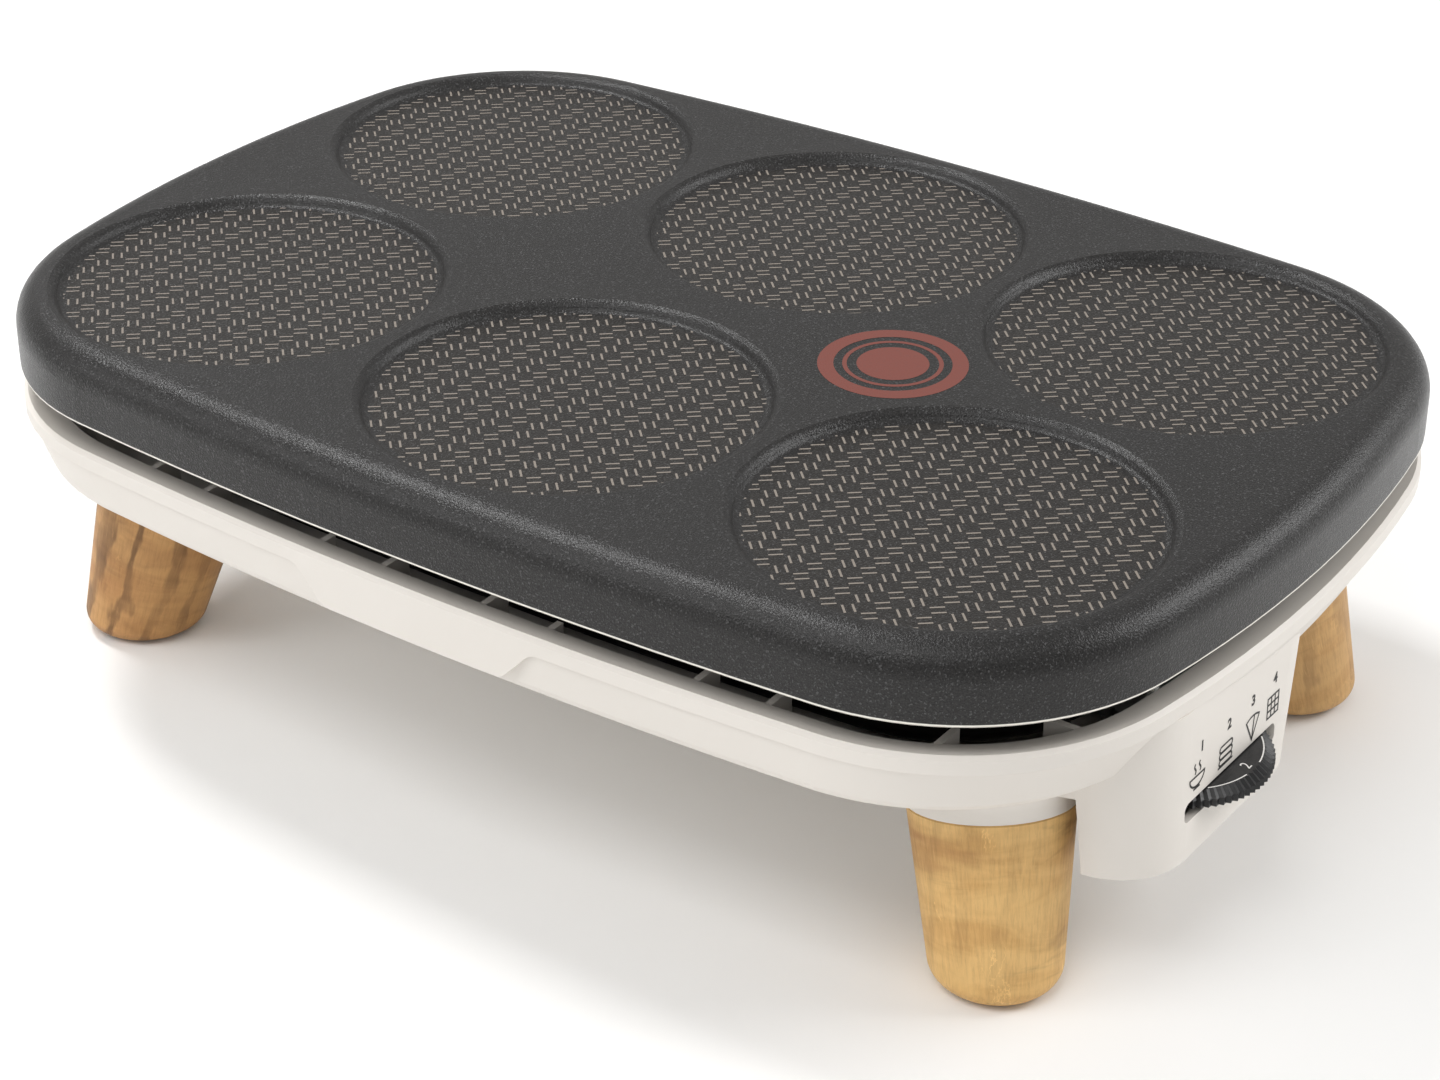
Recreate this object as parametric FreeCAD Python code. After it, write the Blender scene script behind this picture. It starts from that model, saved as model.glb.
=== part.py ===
import FreeCAD, Part
import math
import os

# Electric crepe maker, millimetres, standing on the ground with its control box towards +X
# and its apron towards -Y. Places are measured from the middle of the plate, and the finished
# pieces are moved back by overhang_x, so that the origin lies under the middle of the whole.
# Sizes that can be set by themselves come first.

# Plan outline: four side arcs joined by four corner arcs
half_length = 216.6
half_width = 150.0
end_arc_radius = 471.0
side_arc_radius = 1631.0
corner_radius = 79.5

# Heights of the main stack
base_bottom_height = 74.4
base_height = 22.6
plate_gap = 9.2
plate_height = 23.8

# Griddle plate
shoulder_radius = 10.3
plate_edge_chamfer = 0.8
plate_wall = 4.5
recess_end_margin = 22.76
recess_web = 13.84
recess_web_middle = 25.94
recess_web_ends = 16.1
recess_depth = 3.2
recess_foot_radius = 2.6
recess_lip_width = 5.6
recess_lip_overrun = 0.06
socket_wall = 2.2
socket_depth = 5.0
socket_clearance = 0.5

# Base shell
rim_edge_bevel = 1.3
rim_lip_width = 10.65
rim_lip_drop = 2.6
rim_lip_thickness = 2.6
band_height = 5.8
band_step = 0.8
lower_wall_lean = 3.1
end_wall_lean = 5.2
bottom_edge_radius = 5.0
base_wall = 2.6
apron_top_half_width = 45.0
apron_bottom_half_width = 34.0
apron_drop = 17.4
apron_curve_radius = 6.0
rib_thickness = 2.2
rib_reach = 11.0
rib_top_drop = 0.6
rib_short_reach = 5.5
front_rib_offsets = (19.0, 93.5, 117.0)
short_rib_offset = 43.5
corner_rib_x = 165.5
corner_rib_y = 95.0
vent_slot_length = 26.0
vent_slot_width = 3.2
vent_slot_pitch = 9.0
vent_slots_per_row = 9
vent_row_offset = 34.0

# Legs
leg_foot_inset_x = 45.1
leg_foot_inset_y = 54.8
leg_splay_angle = 16.1
leg_splay_direction = 45.0
boss_drop = 21.94
leg_foot_radius = 19.4
leg_top_radius = 24.8
leg_foot_round = 5.5
leg_top_bevel = 0.6
leg_foot_clearance = 0.8
boss_wall = 3.0
boss_web = 4.0
boss_taper = 0.06
boss_fillet = 12.0
pad_radius = 13.0
pad_recess_depth = 1.2
leg_screw_radius = 3.0
leg_screw_head_radius = 5.0
leg_screw_head_height = 3.2
leg_screw_length = 20.0
leg_insert_radius = 4.5
leg_insert_length = 14.0
insert_fit = 0.05
leg_washer_radius = 8.0
leg_washer_thickness = 1.2

# Control box
box_face_inset = 3.2
box_length = 71.2
box_front_inset = 62.0
box_width = 99.6
box_drop = 33.4
box_front_lean = 0.5
box_rear_lean = 9.0
box_face_lean = 1.2
box_face_corner_radius = 23.0
box_back_corner_radius = 8.0
box_leg_clearance = 6.0
box_leg_lift = 6.0
slot_front_inset = 21.5
slot_rear_inset = 23.6
slot_margin_below = 1.7
slot_margin_above = 0.5
slot_corner_radius = 2.4
cover_recess = 0.8
cover_thickness = 2.4
cover_clearance = 0.3
cover_post_radius = 4.2
cover_post_height = 14.0
gland_inset = 45.4
gland_drop = 14.4
gland_bore_radius = 3.6
gland_body_radius = 7.0
gland_flange_radius = 9.5
gland_flange_thickness = 2.2
gland_clearance = 0.1
gland_seat_gap = 0.3

# Dial wheel, its shaft and the thermostat
wheel_stand_out = 9.6
wheel_inset = 50.6
wheel_drop = 19.1
wheel_thickness = 4.4
wheel_radius = 28.5
wheel_bevel = 2.8
wheel_bevel_height = 2.0
knurl_count = 76
knurl_depth = 0.9
wheel_clearance = 0.5
wheel_groove_inner_radius = 9.0
wheel_groove_outer_radius = 23.0
wheel_groove_depth = 2.2
shaft_radius = 3.0
shaft_flat = 0.8
shaft_fit = 0.08
shaft_hold = 5.0
pivot_wall = 2.8
pivot_depth = 5.0
thermostat_length = 28.0
thermostat_width = 36.0
thermostat_height = 15.0
thermostat_corner_radius = 4.0
hatch_clearance = 1.5
hatch_length = 42.0
hatch_width = 56.0
bracket_width = 16.0
bracket_thickness = 1.3
bracket_boss_radius = 4.0
bracket_boss_height = 3.0
bracket_front_reach = 31.6
bracket_rear_reach = 49.4
bracket_inset = 23.4
bracket_hole_inset = 4.5
thermostat_screw_pitch = 22.0
terminal_block_length = 22.0
terminal_block_width = 13.0
terminal_block_height = 11.0
terminal_block_stand = 8.0
terminal_block_setback = 14.6
terminal_way_pitch = 7.0

# Small screws
screw_radius = 1.5
screw_head_radius = 2.9
screw_head_height = 1.8
screw_fit = 0.08
screw_hole_clearance = 0.4
tray_screw_length = 8.0
earth_screw_length = 3.0
thermostat_screw_length = 6.0
bracket_screw_length = 5.0
cover_screw_length = 9.0

# Tray and heating element
tray_inset = 24.0
tray_lift = 9.6
tray_sheet = 1.0
tray_depth = 16.0
tray_corner_radius = 5.0
tray_screw_inset_x = 96.6
tray_screw_inset_y = 45.0
tray_boss_radius = 4.0
element_radius = 3.25
element_gap = 0.6
element_bend_radius = 16.0
element_inset_x = 44.6
element_inset_y = 58.0
element_loop_gap_x = 62.0
element_loop_gap_y = 48.0
element_front_terminal_y = -16.0
element_rear_terminal_setback = 22.0
element_rear_terminal_y = 16.0
terminal_length = 5.0
bead_radius = 5.6
bead_height = 9.0
bead_shoulder = 1.2
bead_fit = 0.1
bracket_strip_width = 14.0
bracket_strip_thickness = 1.2
bracket_foot_length = 10.0
bracket_setback = 60.0
bracket_cradle_fit = 0.15

# Plate supports
support_inset_y = 38.0
support_radius = 5.0
support_foot_radius = 8.0
support_foot_thickness = 1.5
support_cap_radius = 6.4
support_cap_height = 4.0
support_cap_overlap = 2.5
plate_rest_gap = 0.3

# Heat sensor
sensor_y = 0.0
sensor_head_radius = 7.0
sensor_head_height = 4.0
sensor_stem_radius = 4.0
sensor_travel = 3.0
sensor_neck = 5.2
sensor_guide_radius = 8.0
sensor_guide_fit = 0.1
sensor_rest_gap = 0.3
sensor_stop_radius = 5.6
sensor_stop_thickness = 1.6
spring_turns = 6
spring_wire_radius = 0.5
spring_wire_sides = 6
capillary_radius = 1.1

# Thermal fuse, earth tag and inner wires
fuse_setback = 30.2
fuse_y = -18.0
fuse_radius = 2.0
fuse_length = 12.0
fuse_clip_sheet = 0.6
wire_radius = 1.1
wire_sides = 8
lead_rise = 8.0
return_lead_setback = 10.0
capillary_run = 40.0
capillary_bend_side = 4.0
earth_lead_setback = 15.0
earth_setback = 14.2
earth_y = -2.0

# Levels and places worked out from the sizes above
recess_radius = (half_length - recess_end_margin - recess_web) / 3.0
recess_pitch_x = 2.0 * recess_radius + recess_web
recess_pitch_y_middle = 2.0 * recess_radius + recess_web_middle
recess_pitch_y_ends = 2.0 * recess_radius + recess_web_ends
rim_top = base_bottom_height + base_height
rim_inner_top = rim_top - rim_lip_drop
band_bottom = rim_top - band_height
base_floor_top = base_bottom_height + base_wall
plate_bottom = rim_top + plate_gap
plate_top = plate_bottom + plate_height
plate_ceiling = plate_top - plate_wall
recess_pad_bottom = plate_ceiling - recess_depth
tray_floor_height = base_bottom_height + tray_lift
tray_top = tray_floor_height + tray_sheet
tray_screw_x = half_length - tray_screw_inset_x
tray_screw_y = half_width - tray_screw_inset_y
support_x = recess_pitch_x / 2.0
support_y = half_width - support_inset_y
sensor_x = recess_pitch_x / 2.0
sensor_guide_height = plate_ceiling - sensor_rest_gap - sensor_head_height - sensor_travel - sensor_neck - tray_top
element_outer_x = half_length - element_inset_x
element_outer_y = half_width - element_inset_y
element_inner_x = element_outer_x - element_loop_gap_x
element_inner_y = element_outer_y - element_loop_gap_y
element_rear_terminal_x = element_outer_x - element_rear_terminal_setback
element_height = recess_pad_bottom - element_gap - element_radius
leg_foot_x = half_length - leg_foot_inset_x
leg_foot_y = half_width - leg_foot_inset_y
leg_length = (base_bottom_height - boss_drop) / math.cos(math.radians(leg_splay_angle))
box_face_x = half_length - box_face_inset
box_back_x = box_face_x - box_length
box_front_y = box_front_inset - half_width
box_rear_y = box_front_y + box_width
slot_front_y = box_front_y + slot_front_inset
slot_rear_y = box_rear_y - slot_rear_inset
wheel_y = box_front_y + wheel_inset
box_bottom_height = base_bottom_height - box_drop
wheel_x = box_face_x + wheel_stand_out - wheel_radius
wheel_bottom_height = base_bottom_height - wheel_drop
wheel_top = wheel_bottom_height + wheel_thickness
slot_bottom_height = wheel_bottom_height - slot_margin_below
slot_height = wheel_thickness + slot_margin_below + slot_margin_above
gland_x = box_face_x - gland_inset
gland_height = base_bottom_height - gland_drop
bracket_x = box_face_x - bracket_inset
bracket_front_y = wheel_y - bracket_front_reach
bracket_rear_y = wheel_y + bracket_rear_reach
fuse_x = box_back_x - fuse_setback
earth_x = box_back_x - earth_setback
bracket_bottom = base_floor_top + bracket_boss_height
cover_bottom = box_bottom_height + cover_recess
cover_top = cover_bottom + cover_thickness
overhang_x = (wheel_x + wheel_radius - half_length) / 2.0
up = FreeCAD.Vector(0, 0, 1)


def point(x, y, z=0.0):
    return FreeCAD.Vector(x, y, z)


def cylinder(radius, height, x, y, z, direction=up):
    return Part.makeCylinder(radius, height, point(x, y, z), direction)


def block(x_low, x_high, y_low, y_high, z_low, z_high):
    return Part.makeBox(x_high - x_low, y_high - y_low, z_high - z_low, point(x_low, y_low, z_low))


def joined(shapes):
    result = shapes[0]
    if len(shapes) > 1:
        result = result.fuse(shapes[1:])
    return result.removeSplitter()


def corner_centre(end_inset):
    # Meeting point of the two circles on which the corner arc's centre lies
    side_y = half_width - side_arc_radius
    end_x = half_length - end_inset - end_arc_radius
    from_side = side_arc_radius - corner_radius
    from_end = end_arc_radius - corner_radius
    spacing = math.hypot(end_x, side_y)
    along = (from_side ** 2 - from_end ** 2 + spacing ** 2) / (2.0 * spacing)
    across = math.sqrt(from_side ** 2 - along ** 2)
    step_x = end_x / spacing
    step_y = -side_y / spacing
    first = (step_x * along + step_y * across, side_y + step_y * along - step_x * across)
    second = (step_x * along - step_y * across, side_y + step_y * along + step_x * across)
    return first if first[0] > second[0] else second


def away(centre, through, radius):
    reach = math.hypot(through[0] - centre[0], through[1] - centre[1])
    x = centre[0] + (through[0] - centre[0]) / reach * radius
    y = centre[1] + (through[1] - centre[1]) / reach * radius
    return (x, y)


def outline(offset, height, end_inset=0.0):
    # The plan outline grown by an offset, as eight tangent arcs, with its ends drawn in by an inset
    end_x = half_length - end_inset
    centre = corner_centre(end_inset)
    side_point = away((0.0, half_width - side_arc_radius), centre, side_arc_radius + offset)
    end_point = away((end_x - end_arc_radius, 0.0), centre, end_arc_radius + offset)
    middle = ((side_point[0] + end_point[0]) / 2.0, (side_point[1] + end_point[1]) / 2.0)
    corner_point = away(centre, middle, corner_radius + offset)
    quarters = ((1, 1), (-1, 1), (-1, -1), (1, -1))
    edges = []
    for number, (sign_x, sign_y) in enumerate(quarters):
        ends = [end_point, side_point]
        if sign_x * sign_y < 0:
            ends.reverse()
        start = point(sign_x * ends[0][0], sign_y * ends[0][1], height)
        through = point(sign_x * corner_point[0], sign_y * corner_point[1], height)
        finish = point(sign_x * ends[1][0], sign_y * ends[1][1], height)
        edges.append(Part.Arc(start, through, finish).toShape())
        next_x, next_y = quarters[(number + 1) % 4]
        if next_x == sign_x:
            crest = point(sign_x * (end_x + offset), 0, height)
            target = point(sign_x * end_point[0], next_y * end_point[1], height)
        else:
            crest = point(0, sign_y * (half_width + offset), height)
            target = point(next_x * side_point[0], sign_y * side_point[1], height)
        edges.append(Part.Arc(finish, crest, target).toShape())
    return Part.Wire(edges)


def outline_prism(offset, low, high, end_inset=0.0):
    return Part.Face(outline(offset, low, end_inset)).extrude(point(0, 0, high - low))


def outline_taper(offset_low, low, offset_high, high, end_inset=0.0):
    # The inset of the ends belongs to the lower outline and runs out at the upper one
    return Part.makeLoft([outline(offset_low, low, end_inset), outline(offset_high, high)], True, True)


def edges_at_height(shape, height, within=0.01):
    found = []
    for edge in shape.Edges:
        box = edge.BoundBox
        if abs(box.ZMin - height) < within and abs(box.ZMax - height) < within:
            found.append(edge)
    return found


def rounded_rectangle(x_low, x_high, y_low, y_high, radii, height):
    # Radii go round from the corner at high X and high Y
    corners = ((x_high, y_high), (x_low, y_high), (x_low, y_low), (x_high, y_low))
    inward = ((-1, -1), (1, -1), (1, 1), (-1, 1))
    starts = []
    for (x, y), (in_x, in_y), radius, turn in zip(corners, inward, radii, range(4)):
        centre_x = x + in_x * radius
        centre_y = y + in_y * radius
        arc = []
        for angle in (turn * 90.0, turn * 90.0 + 45.0, turn * 90.0 + 90.0):
            rise = math.radians(angle)
            arc.append(point(centre_x + radius * math.cos(rise), centre_y + radius * math.sin(rise), height))
        starts.append(arc)
    edges = []
    for number, arc in enumerate(starts):
        edges.append(Part.Arc(arc[0], arc[1], arc[2]).toShape())
        edges.append(Part.LineSegment(arc[2], starts[(number + 1) % 4][0]).toShape())
    return Part.Wire(edges)


def revolved(profile, origin, direction=up):
    # Closed (radius, height) profile turned about an axis through the origin point
    wire = Part.makePolygon([point(radius, 0, height) for radius, height in profile + profile[:1]])
    solid = Part.Face(wire).revolve(point(0, 0, 0), up, 360)
    solid.Placement = FreeCAD.Placement(origin, FreeCAD.Rotation(up, direction))
    return solid


def bent_tube(points, radius, bend, sides=0):
    # Straight runs joined by tangent arcs, round or with a number of flat sides
    edges = []
    start = points[0]
    for number in range(1, len(points) - 1):
        corner = points[number]
        back = (points[number - 1] - corner).normalize()
        ahead = (points[number + 1] - corner).normalize()
        half_turn = math.acos(max(-1.0, min(1.0, back.dot(ahead)))) / 2.0
        trim = bend / math.tan(half_turn)
        first = corner + back * trim
        last = corner + ahead * trim
        bisector = (back + ahead).normalize()
        crest = corner + bisector * (bend / math.sin(half_turn) - bend)
        edges.append(Part.LineSegment(start, first).toShape())
        edges.append(Part.Arc(first, crest, last).toShape())
        start = last
    edges.append(Part.LineSegment(start, points[-1]).toShape())
    path = Part.Wire(edges)
    direction = (points[1] - points[0]).normalize()
    if sides:
        section = polygon_ring(radius, sides, points[0], direction)
    else:
        section = Part.Wire([Part.makeCircle(radius, points[0], direction)])
    return path.makePipeShell([section], True, False)


def polygon_ring(radius, sides, centre, direction):
    # Regular polygon square to a direction
    across = direction.cross(point(1, 0, 0))
    if across.Length < 0.5:
        across = direction.cross(point(0, 1, 0))
    across = across.normalize()
    beside = direction.cross(across)
    corners = []
    for number in range(sides + 1):
        angle = 2.0 * math.pi * (number % sides) / sides
        corners.append(centre + across * (radius * math.cos(angle)) + beside * (radius * math.sin(angle)))
    return Part.makePolygon(corners)


def pan_screw(x, y, seat_height, length, direction=1):
    # A pan-head screw with its head above the seat, or below it when the direction is -1
    crown = screw_head_height * 0.45
    profile = [
        (0.0, -length),
        (screw_radius, -length),
        (screw_radius, 0.0),
        (screw_head_radius, 0.0),
        (screw_head_radius, screw_head_height - crown),
        (screw_head_radius - crown, screw_head_height),
        (0.0, screw_head_height),
    ]
    return revolved(profile, point(x, y, seat_height), point(0, 0, direction))


def write(node, shape):
    shape.translate(point(-overhang_x, 0, 0))
    solids = len(shape.Solids)
    volume = shape.Volume / 1000.0
    print("%-24s solids %2d  volume %9.2f cm3  valid %s" % (node, solids, volume, shape.isValid()))
    shape.exportStep("parts/" + node + ".step")


def recess_centres():
    centres = []
    for column in (-1, 0, 1):
        pitch = recess_pitch_y_middle if column == 0 else recess_pitch_y_ends
        for row in (-1, 1):
            centres.append((column * recess_pitch_x, row * pitch / 2.0))
    return centres


def support_places():
    return [(side * support_x, end * support_y) for side in (-1, 1) for end in (-1, 1)]


def griddle_plate():
    body = outline_prism(0.0, plate_bottom + plate_edge_chamfer, plate_top)
    body = body.makeFillet(shoulder_radius, edges_at_height(body, plate_top))
    chamfer = outline_taper(-plate_edge_chamfer, plate_bottom, 0.0, plate_bottom + plate_edge_chamfer)
    body = body.fuse(chamfer)
    hollow = outline_prism(-plate_wall, plate_bottom - 1.0, plate_ceiling)
    hollow = hollow.makeFillet(shoulder_radius - plate_wall, edges_at_height(hollow, plate_ceiling))
    body = body.cut(hollow)
    for x, y in recess_centres():
        body = body.fuse(cylinder(recess_radius + plate_wall, recess_depth + 1.0, x, y, recess_pad_bottom))
        body = body.cut(recess_tool(x, y))
    inner = support_cap_radius + socket_clearance
    for x, y in support_places():
        body = body.fuse(cylinder(inner + socket_wall, socket_depth + 1.0, x, y, plate_ceiling - socket_depth))
        body = body.cut(cylinder(inner, socket_depth, x, y, plate_ceiling - socket_depth))
    return body.removeSplitter()


def recess_tool(x, y):
    # The recess as a turned cutter: flat floor, hollow foot and rounded lip that overruns the top a little
    foot = recess_foot_radius
    floor = plate_top - recess_depth
    rise = recess_depth + recess_lip_overrun
    lip = (recess_lip_width ** 2 + rise ** 2) / (2.0 * rise) - foot
    start = point(recess_radius, 0, floor)
    turn = 2.0 * math.atan2(rise, recess_lip_width)
    foot_end = point(recess_radius + foot * math.sin(turn), 0, floor + foot * (1.0 - math.cos(turn)))
    foot_middle = point(recess_radius + foot * math.sin(turn / 2), 0, floor + foot * (1.0 - math.cos(turn / 2)))
    lip_end = point(recess_radius + recess_lip_width, 0, floor + rise)
    lip_middle = point(lip_end.x - lip * math.sin(turn / 2), 0, lip_end.z - lip * (1.0 - math.cos(turn / 2)))
    axis_low = point(0, 0, floor)
    axis_high = point(0, 0, plate_top + 1.0)
    above = point(lip_end.x, 0, plate_top + 1.0)
    edges = [
        Part.LineSegment(axis_low, start).toShape(),
        Part.Arc(start, foot_middle, foot_end).toShape(),
        Part.Arc(foot_end, lip_middle, lip_end).toShape(),
        Part.LineSegment(lip_end, above).toShape(),
        Part.LineSegment(above, axis_high).toShape(),
        Part.LineSegment(axis_high, axis_low).toShape(),
    ]
    solid = Part.Face(Part.Wire(edges)).revolve(point(0, 0, 0), up, 360)
    solid.translate(point(x, y, 0))
    return solid


def leg_axis(sign_x, sign_y):
    lean = math.sin(math.radians(leg_splay_angle))
    heading = math.radians(leg_splay_direction)
    rise = math.cos(math.radians(leg_splay_angle))
    return point(-sign_x * lean * math.cos(heading), -sign_y * lean * math.sin(heading), rise)


def leg_point(sign_x, sign_y, distance):
    # A point on the leg's axis, measured up along it from the ground
    return point(sign_x * leg_foot_x, sign_y * leg_foot_y, 0) + leg_axis(sign_x, sign_y) * distance


def leg_corners():
    return ((-1, -1), (1, -1), (-1, 1), (1, 1))


def leg_cone(sign_x, sign_y, low, high, radius_low, radius_high):
    origin = leg_point(sign_x, sign_y, low)
    return Part.makeCone(radius_low, radius_high, high - low, origin, leg_axis(sign_x, sign_y))


def leg_rod(sign_x, sign_y, low, high, radius):
    return Part.makeCylinder(radius, high - low, leg_point(sign_x, sign_y, low), leg_axis(sign_x, sign_y))


def boss_outer(sign_x, sign_y, reach):
    return leg_cone(sign_x, sign_y, leg_length, leg_length + reach, leg_top_radius, leg_top_radius + boss_taper * reach)


def boss_hollow(sign_x, sign_y, reach):
    low = leg_length + boss_web
    radius_low = leg_top_radius + boss_taper * boss_web - boss_wall
    radius_high = leg_top_radius + boss_taper * reach - boss_wall
    return leg_cone(sign_x, sign_y, low, leg_length + reach, radius_low, radius_high)


def leg_relief(sign_x, sign_y, clearance, lift):
    # Room round a leg, up to its top plane
    slope = (leg_top_radius - leg_foot_radius) / leg_length
    low = -30.0
    radius_low = leg_foot_radius + slope * low + clearance
    radius_high = leg_top_radius + slope * lift + clearance
    return leg_cone(sign_x, sign_y, low, leg_length + lift, radius_low, radius_high)


def box_section(inset, height):
    # Plan of the control box at one height, leaning out towards the top
    share = (height - box_bottom_height) / (band_bottom - box_bottom_height)
    x_high = box_face_x - box_face_lean * share - inset
    face_radius = box_face_corner_radius - inset
    back_radius = box_back_corner_radius - inset
    radii = (face_radius, back_radius, back_radius, face_radius)
    y_low = box_front_y - box_front_lean * share + inset
    y_high = box_rear_y + box_rear_lean * share - inset
    return rounded_rectangle(box_back_x + inset, x_high, y_low, y_high, radii, height)


def box_body(inset, low, high):
    return Part.makeLoft([box_section(inset, low), box_section(inset, high)], True, True)


def cover_post_places():
    # Each post leans on a wall: two on the back wall, one in each rounded corner of the face
    inside = base_wall + cover_post_radius - 0.6
    tucked = box_face_corner_radius - (box_face_corner_radius - inside) * math.sqrt(0.5)
    return (
        (box_back_x + inside, box_rear_y - box_back_corner_radius),
        (box_back_x + inside, wheel_y - 8.0),
        (box_face_x - tucked, box_rear_y - tucked),
        (box_face_x - tucked, box_front_y + tucked),
    )


def tray_screw_places():
    places = [(side * tray_screw_x, end * tray_screw_y) for side in (-1, 1) for end in (-1, 1)]
    return places + [(0.0, -tray_screw_y), (0.0, tray_screw_y)]


def bracket_hole_places():
    return ((bracket_x, bracket_front_y + bracket_hole_inset), (bracket_x, bracket_rear_y - bracket_hole_inset))


def apron_body():
    # Curved drop of the band over the front wall, flush with the band
    low = rim_top - apron_drop
    curve = apron_curve_radius
    face_y = -half_width - 5.0
    half_top = apron_top_half_width
    half_low = apron_bottom_half_width
    lean = math.atan2(band_bottom - low, half_top - half_low)
    trim = curve * math.tan(lean / 2.0)
    edges = []
    chain = []
    for side in (1, -1):
        top_outer = point(side * (half_top + trim), face_y, band_bottom)
        top_inner = point(side * (half_top - trim * math.cos(lean)), face_y, band_bottom - trim * math.sin(lean))
        low_outer = point(side * (half_low + trim * math.cos(lean)), face_y, low + trim * math.sin(lean))
        low_inner = point(side * (half_low - trim), face_y, low)
        sweep = curve * math.sin(lean / 2.0)
        drop = curve * (1.0 - math.cos(lean / 2.0))
        top_middle = point(side * (half_top + trim - sweep), face_y, band_bottom - drop)
        low_middle = point(side * (half_low - trim + sweep), face_y, low + drop)
        chain.append((top_outer, top_middle, top_inner, low_outer, low_middle, low_inner))
    right, left = chain
    for arm in (right, left):
        edges.append(Part.Arc(arm[0], arm[1], arm[2]).toShape())
        edges.append(Part.LineSegment(arm[2], arm[3]).toShape())
        edges.append(Part.Arc(arm[3], arm[4], arm[5]).toShape())
    edges.append(Part.LineSegment(right[5], left[5]).toShape())
    above_right = right[0] + point(0, 0, 1.0)
    above_left = left[0] + point(0, 0, 1.0)
    edges.append(Part.LineSegment(right[0], above_right).toShape())
    edges.append(Part.LineSegment(above_right, above_left).toShape())
    edges.append(Part.LineSegment(above_left, left[0]).toShape())
    face = Part.Face(Part.Wire(Part.sortEdges(edges)[0]))
    curtain = face.extrude(point(0, 5.0 + band_step + lower_wall_lean + base_wall, 0))
    return curtain.common(outline_prism(0.0, low - 1.0, band_bottom + 1.0))


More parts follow.
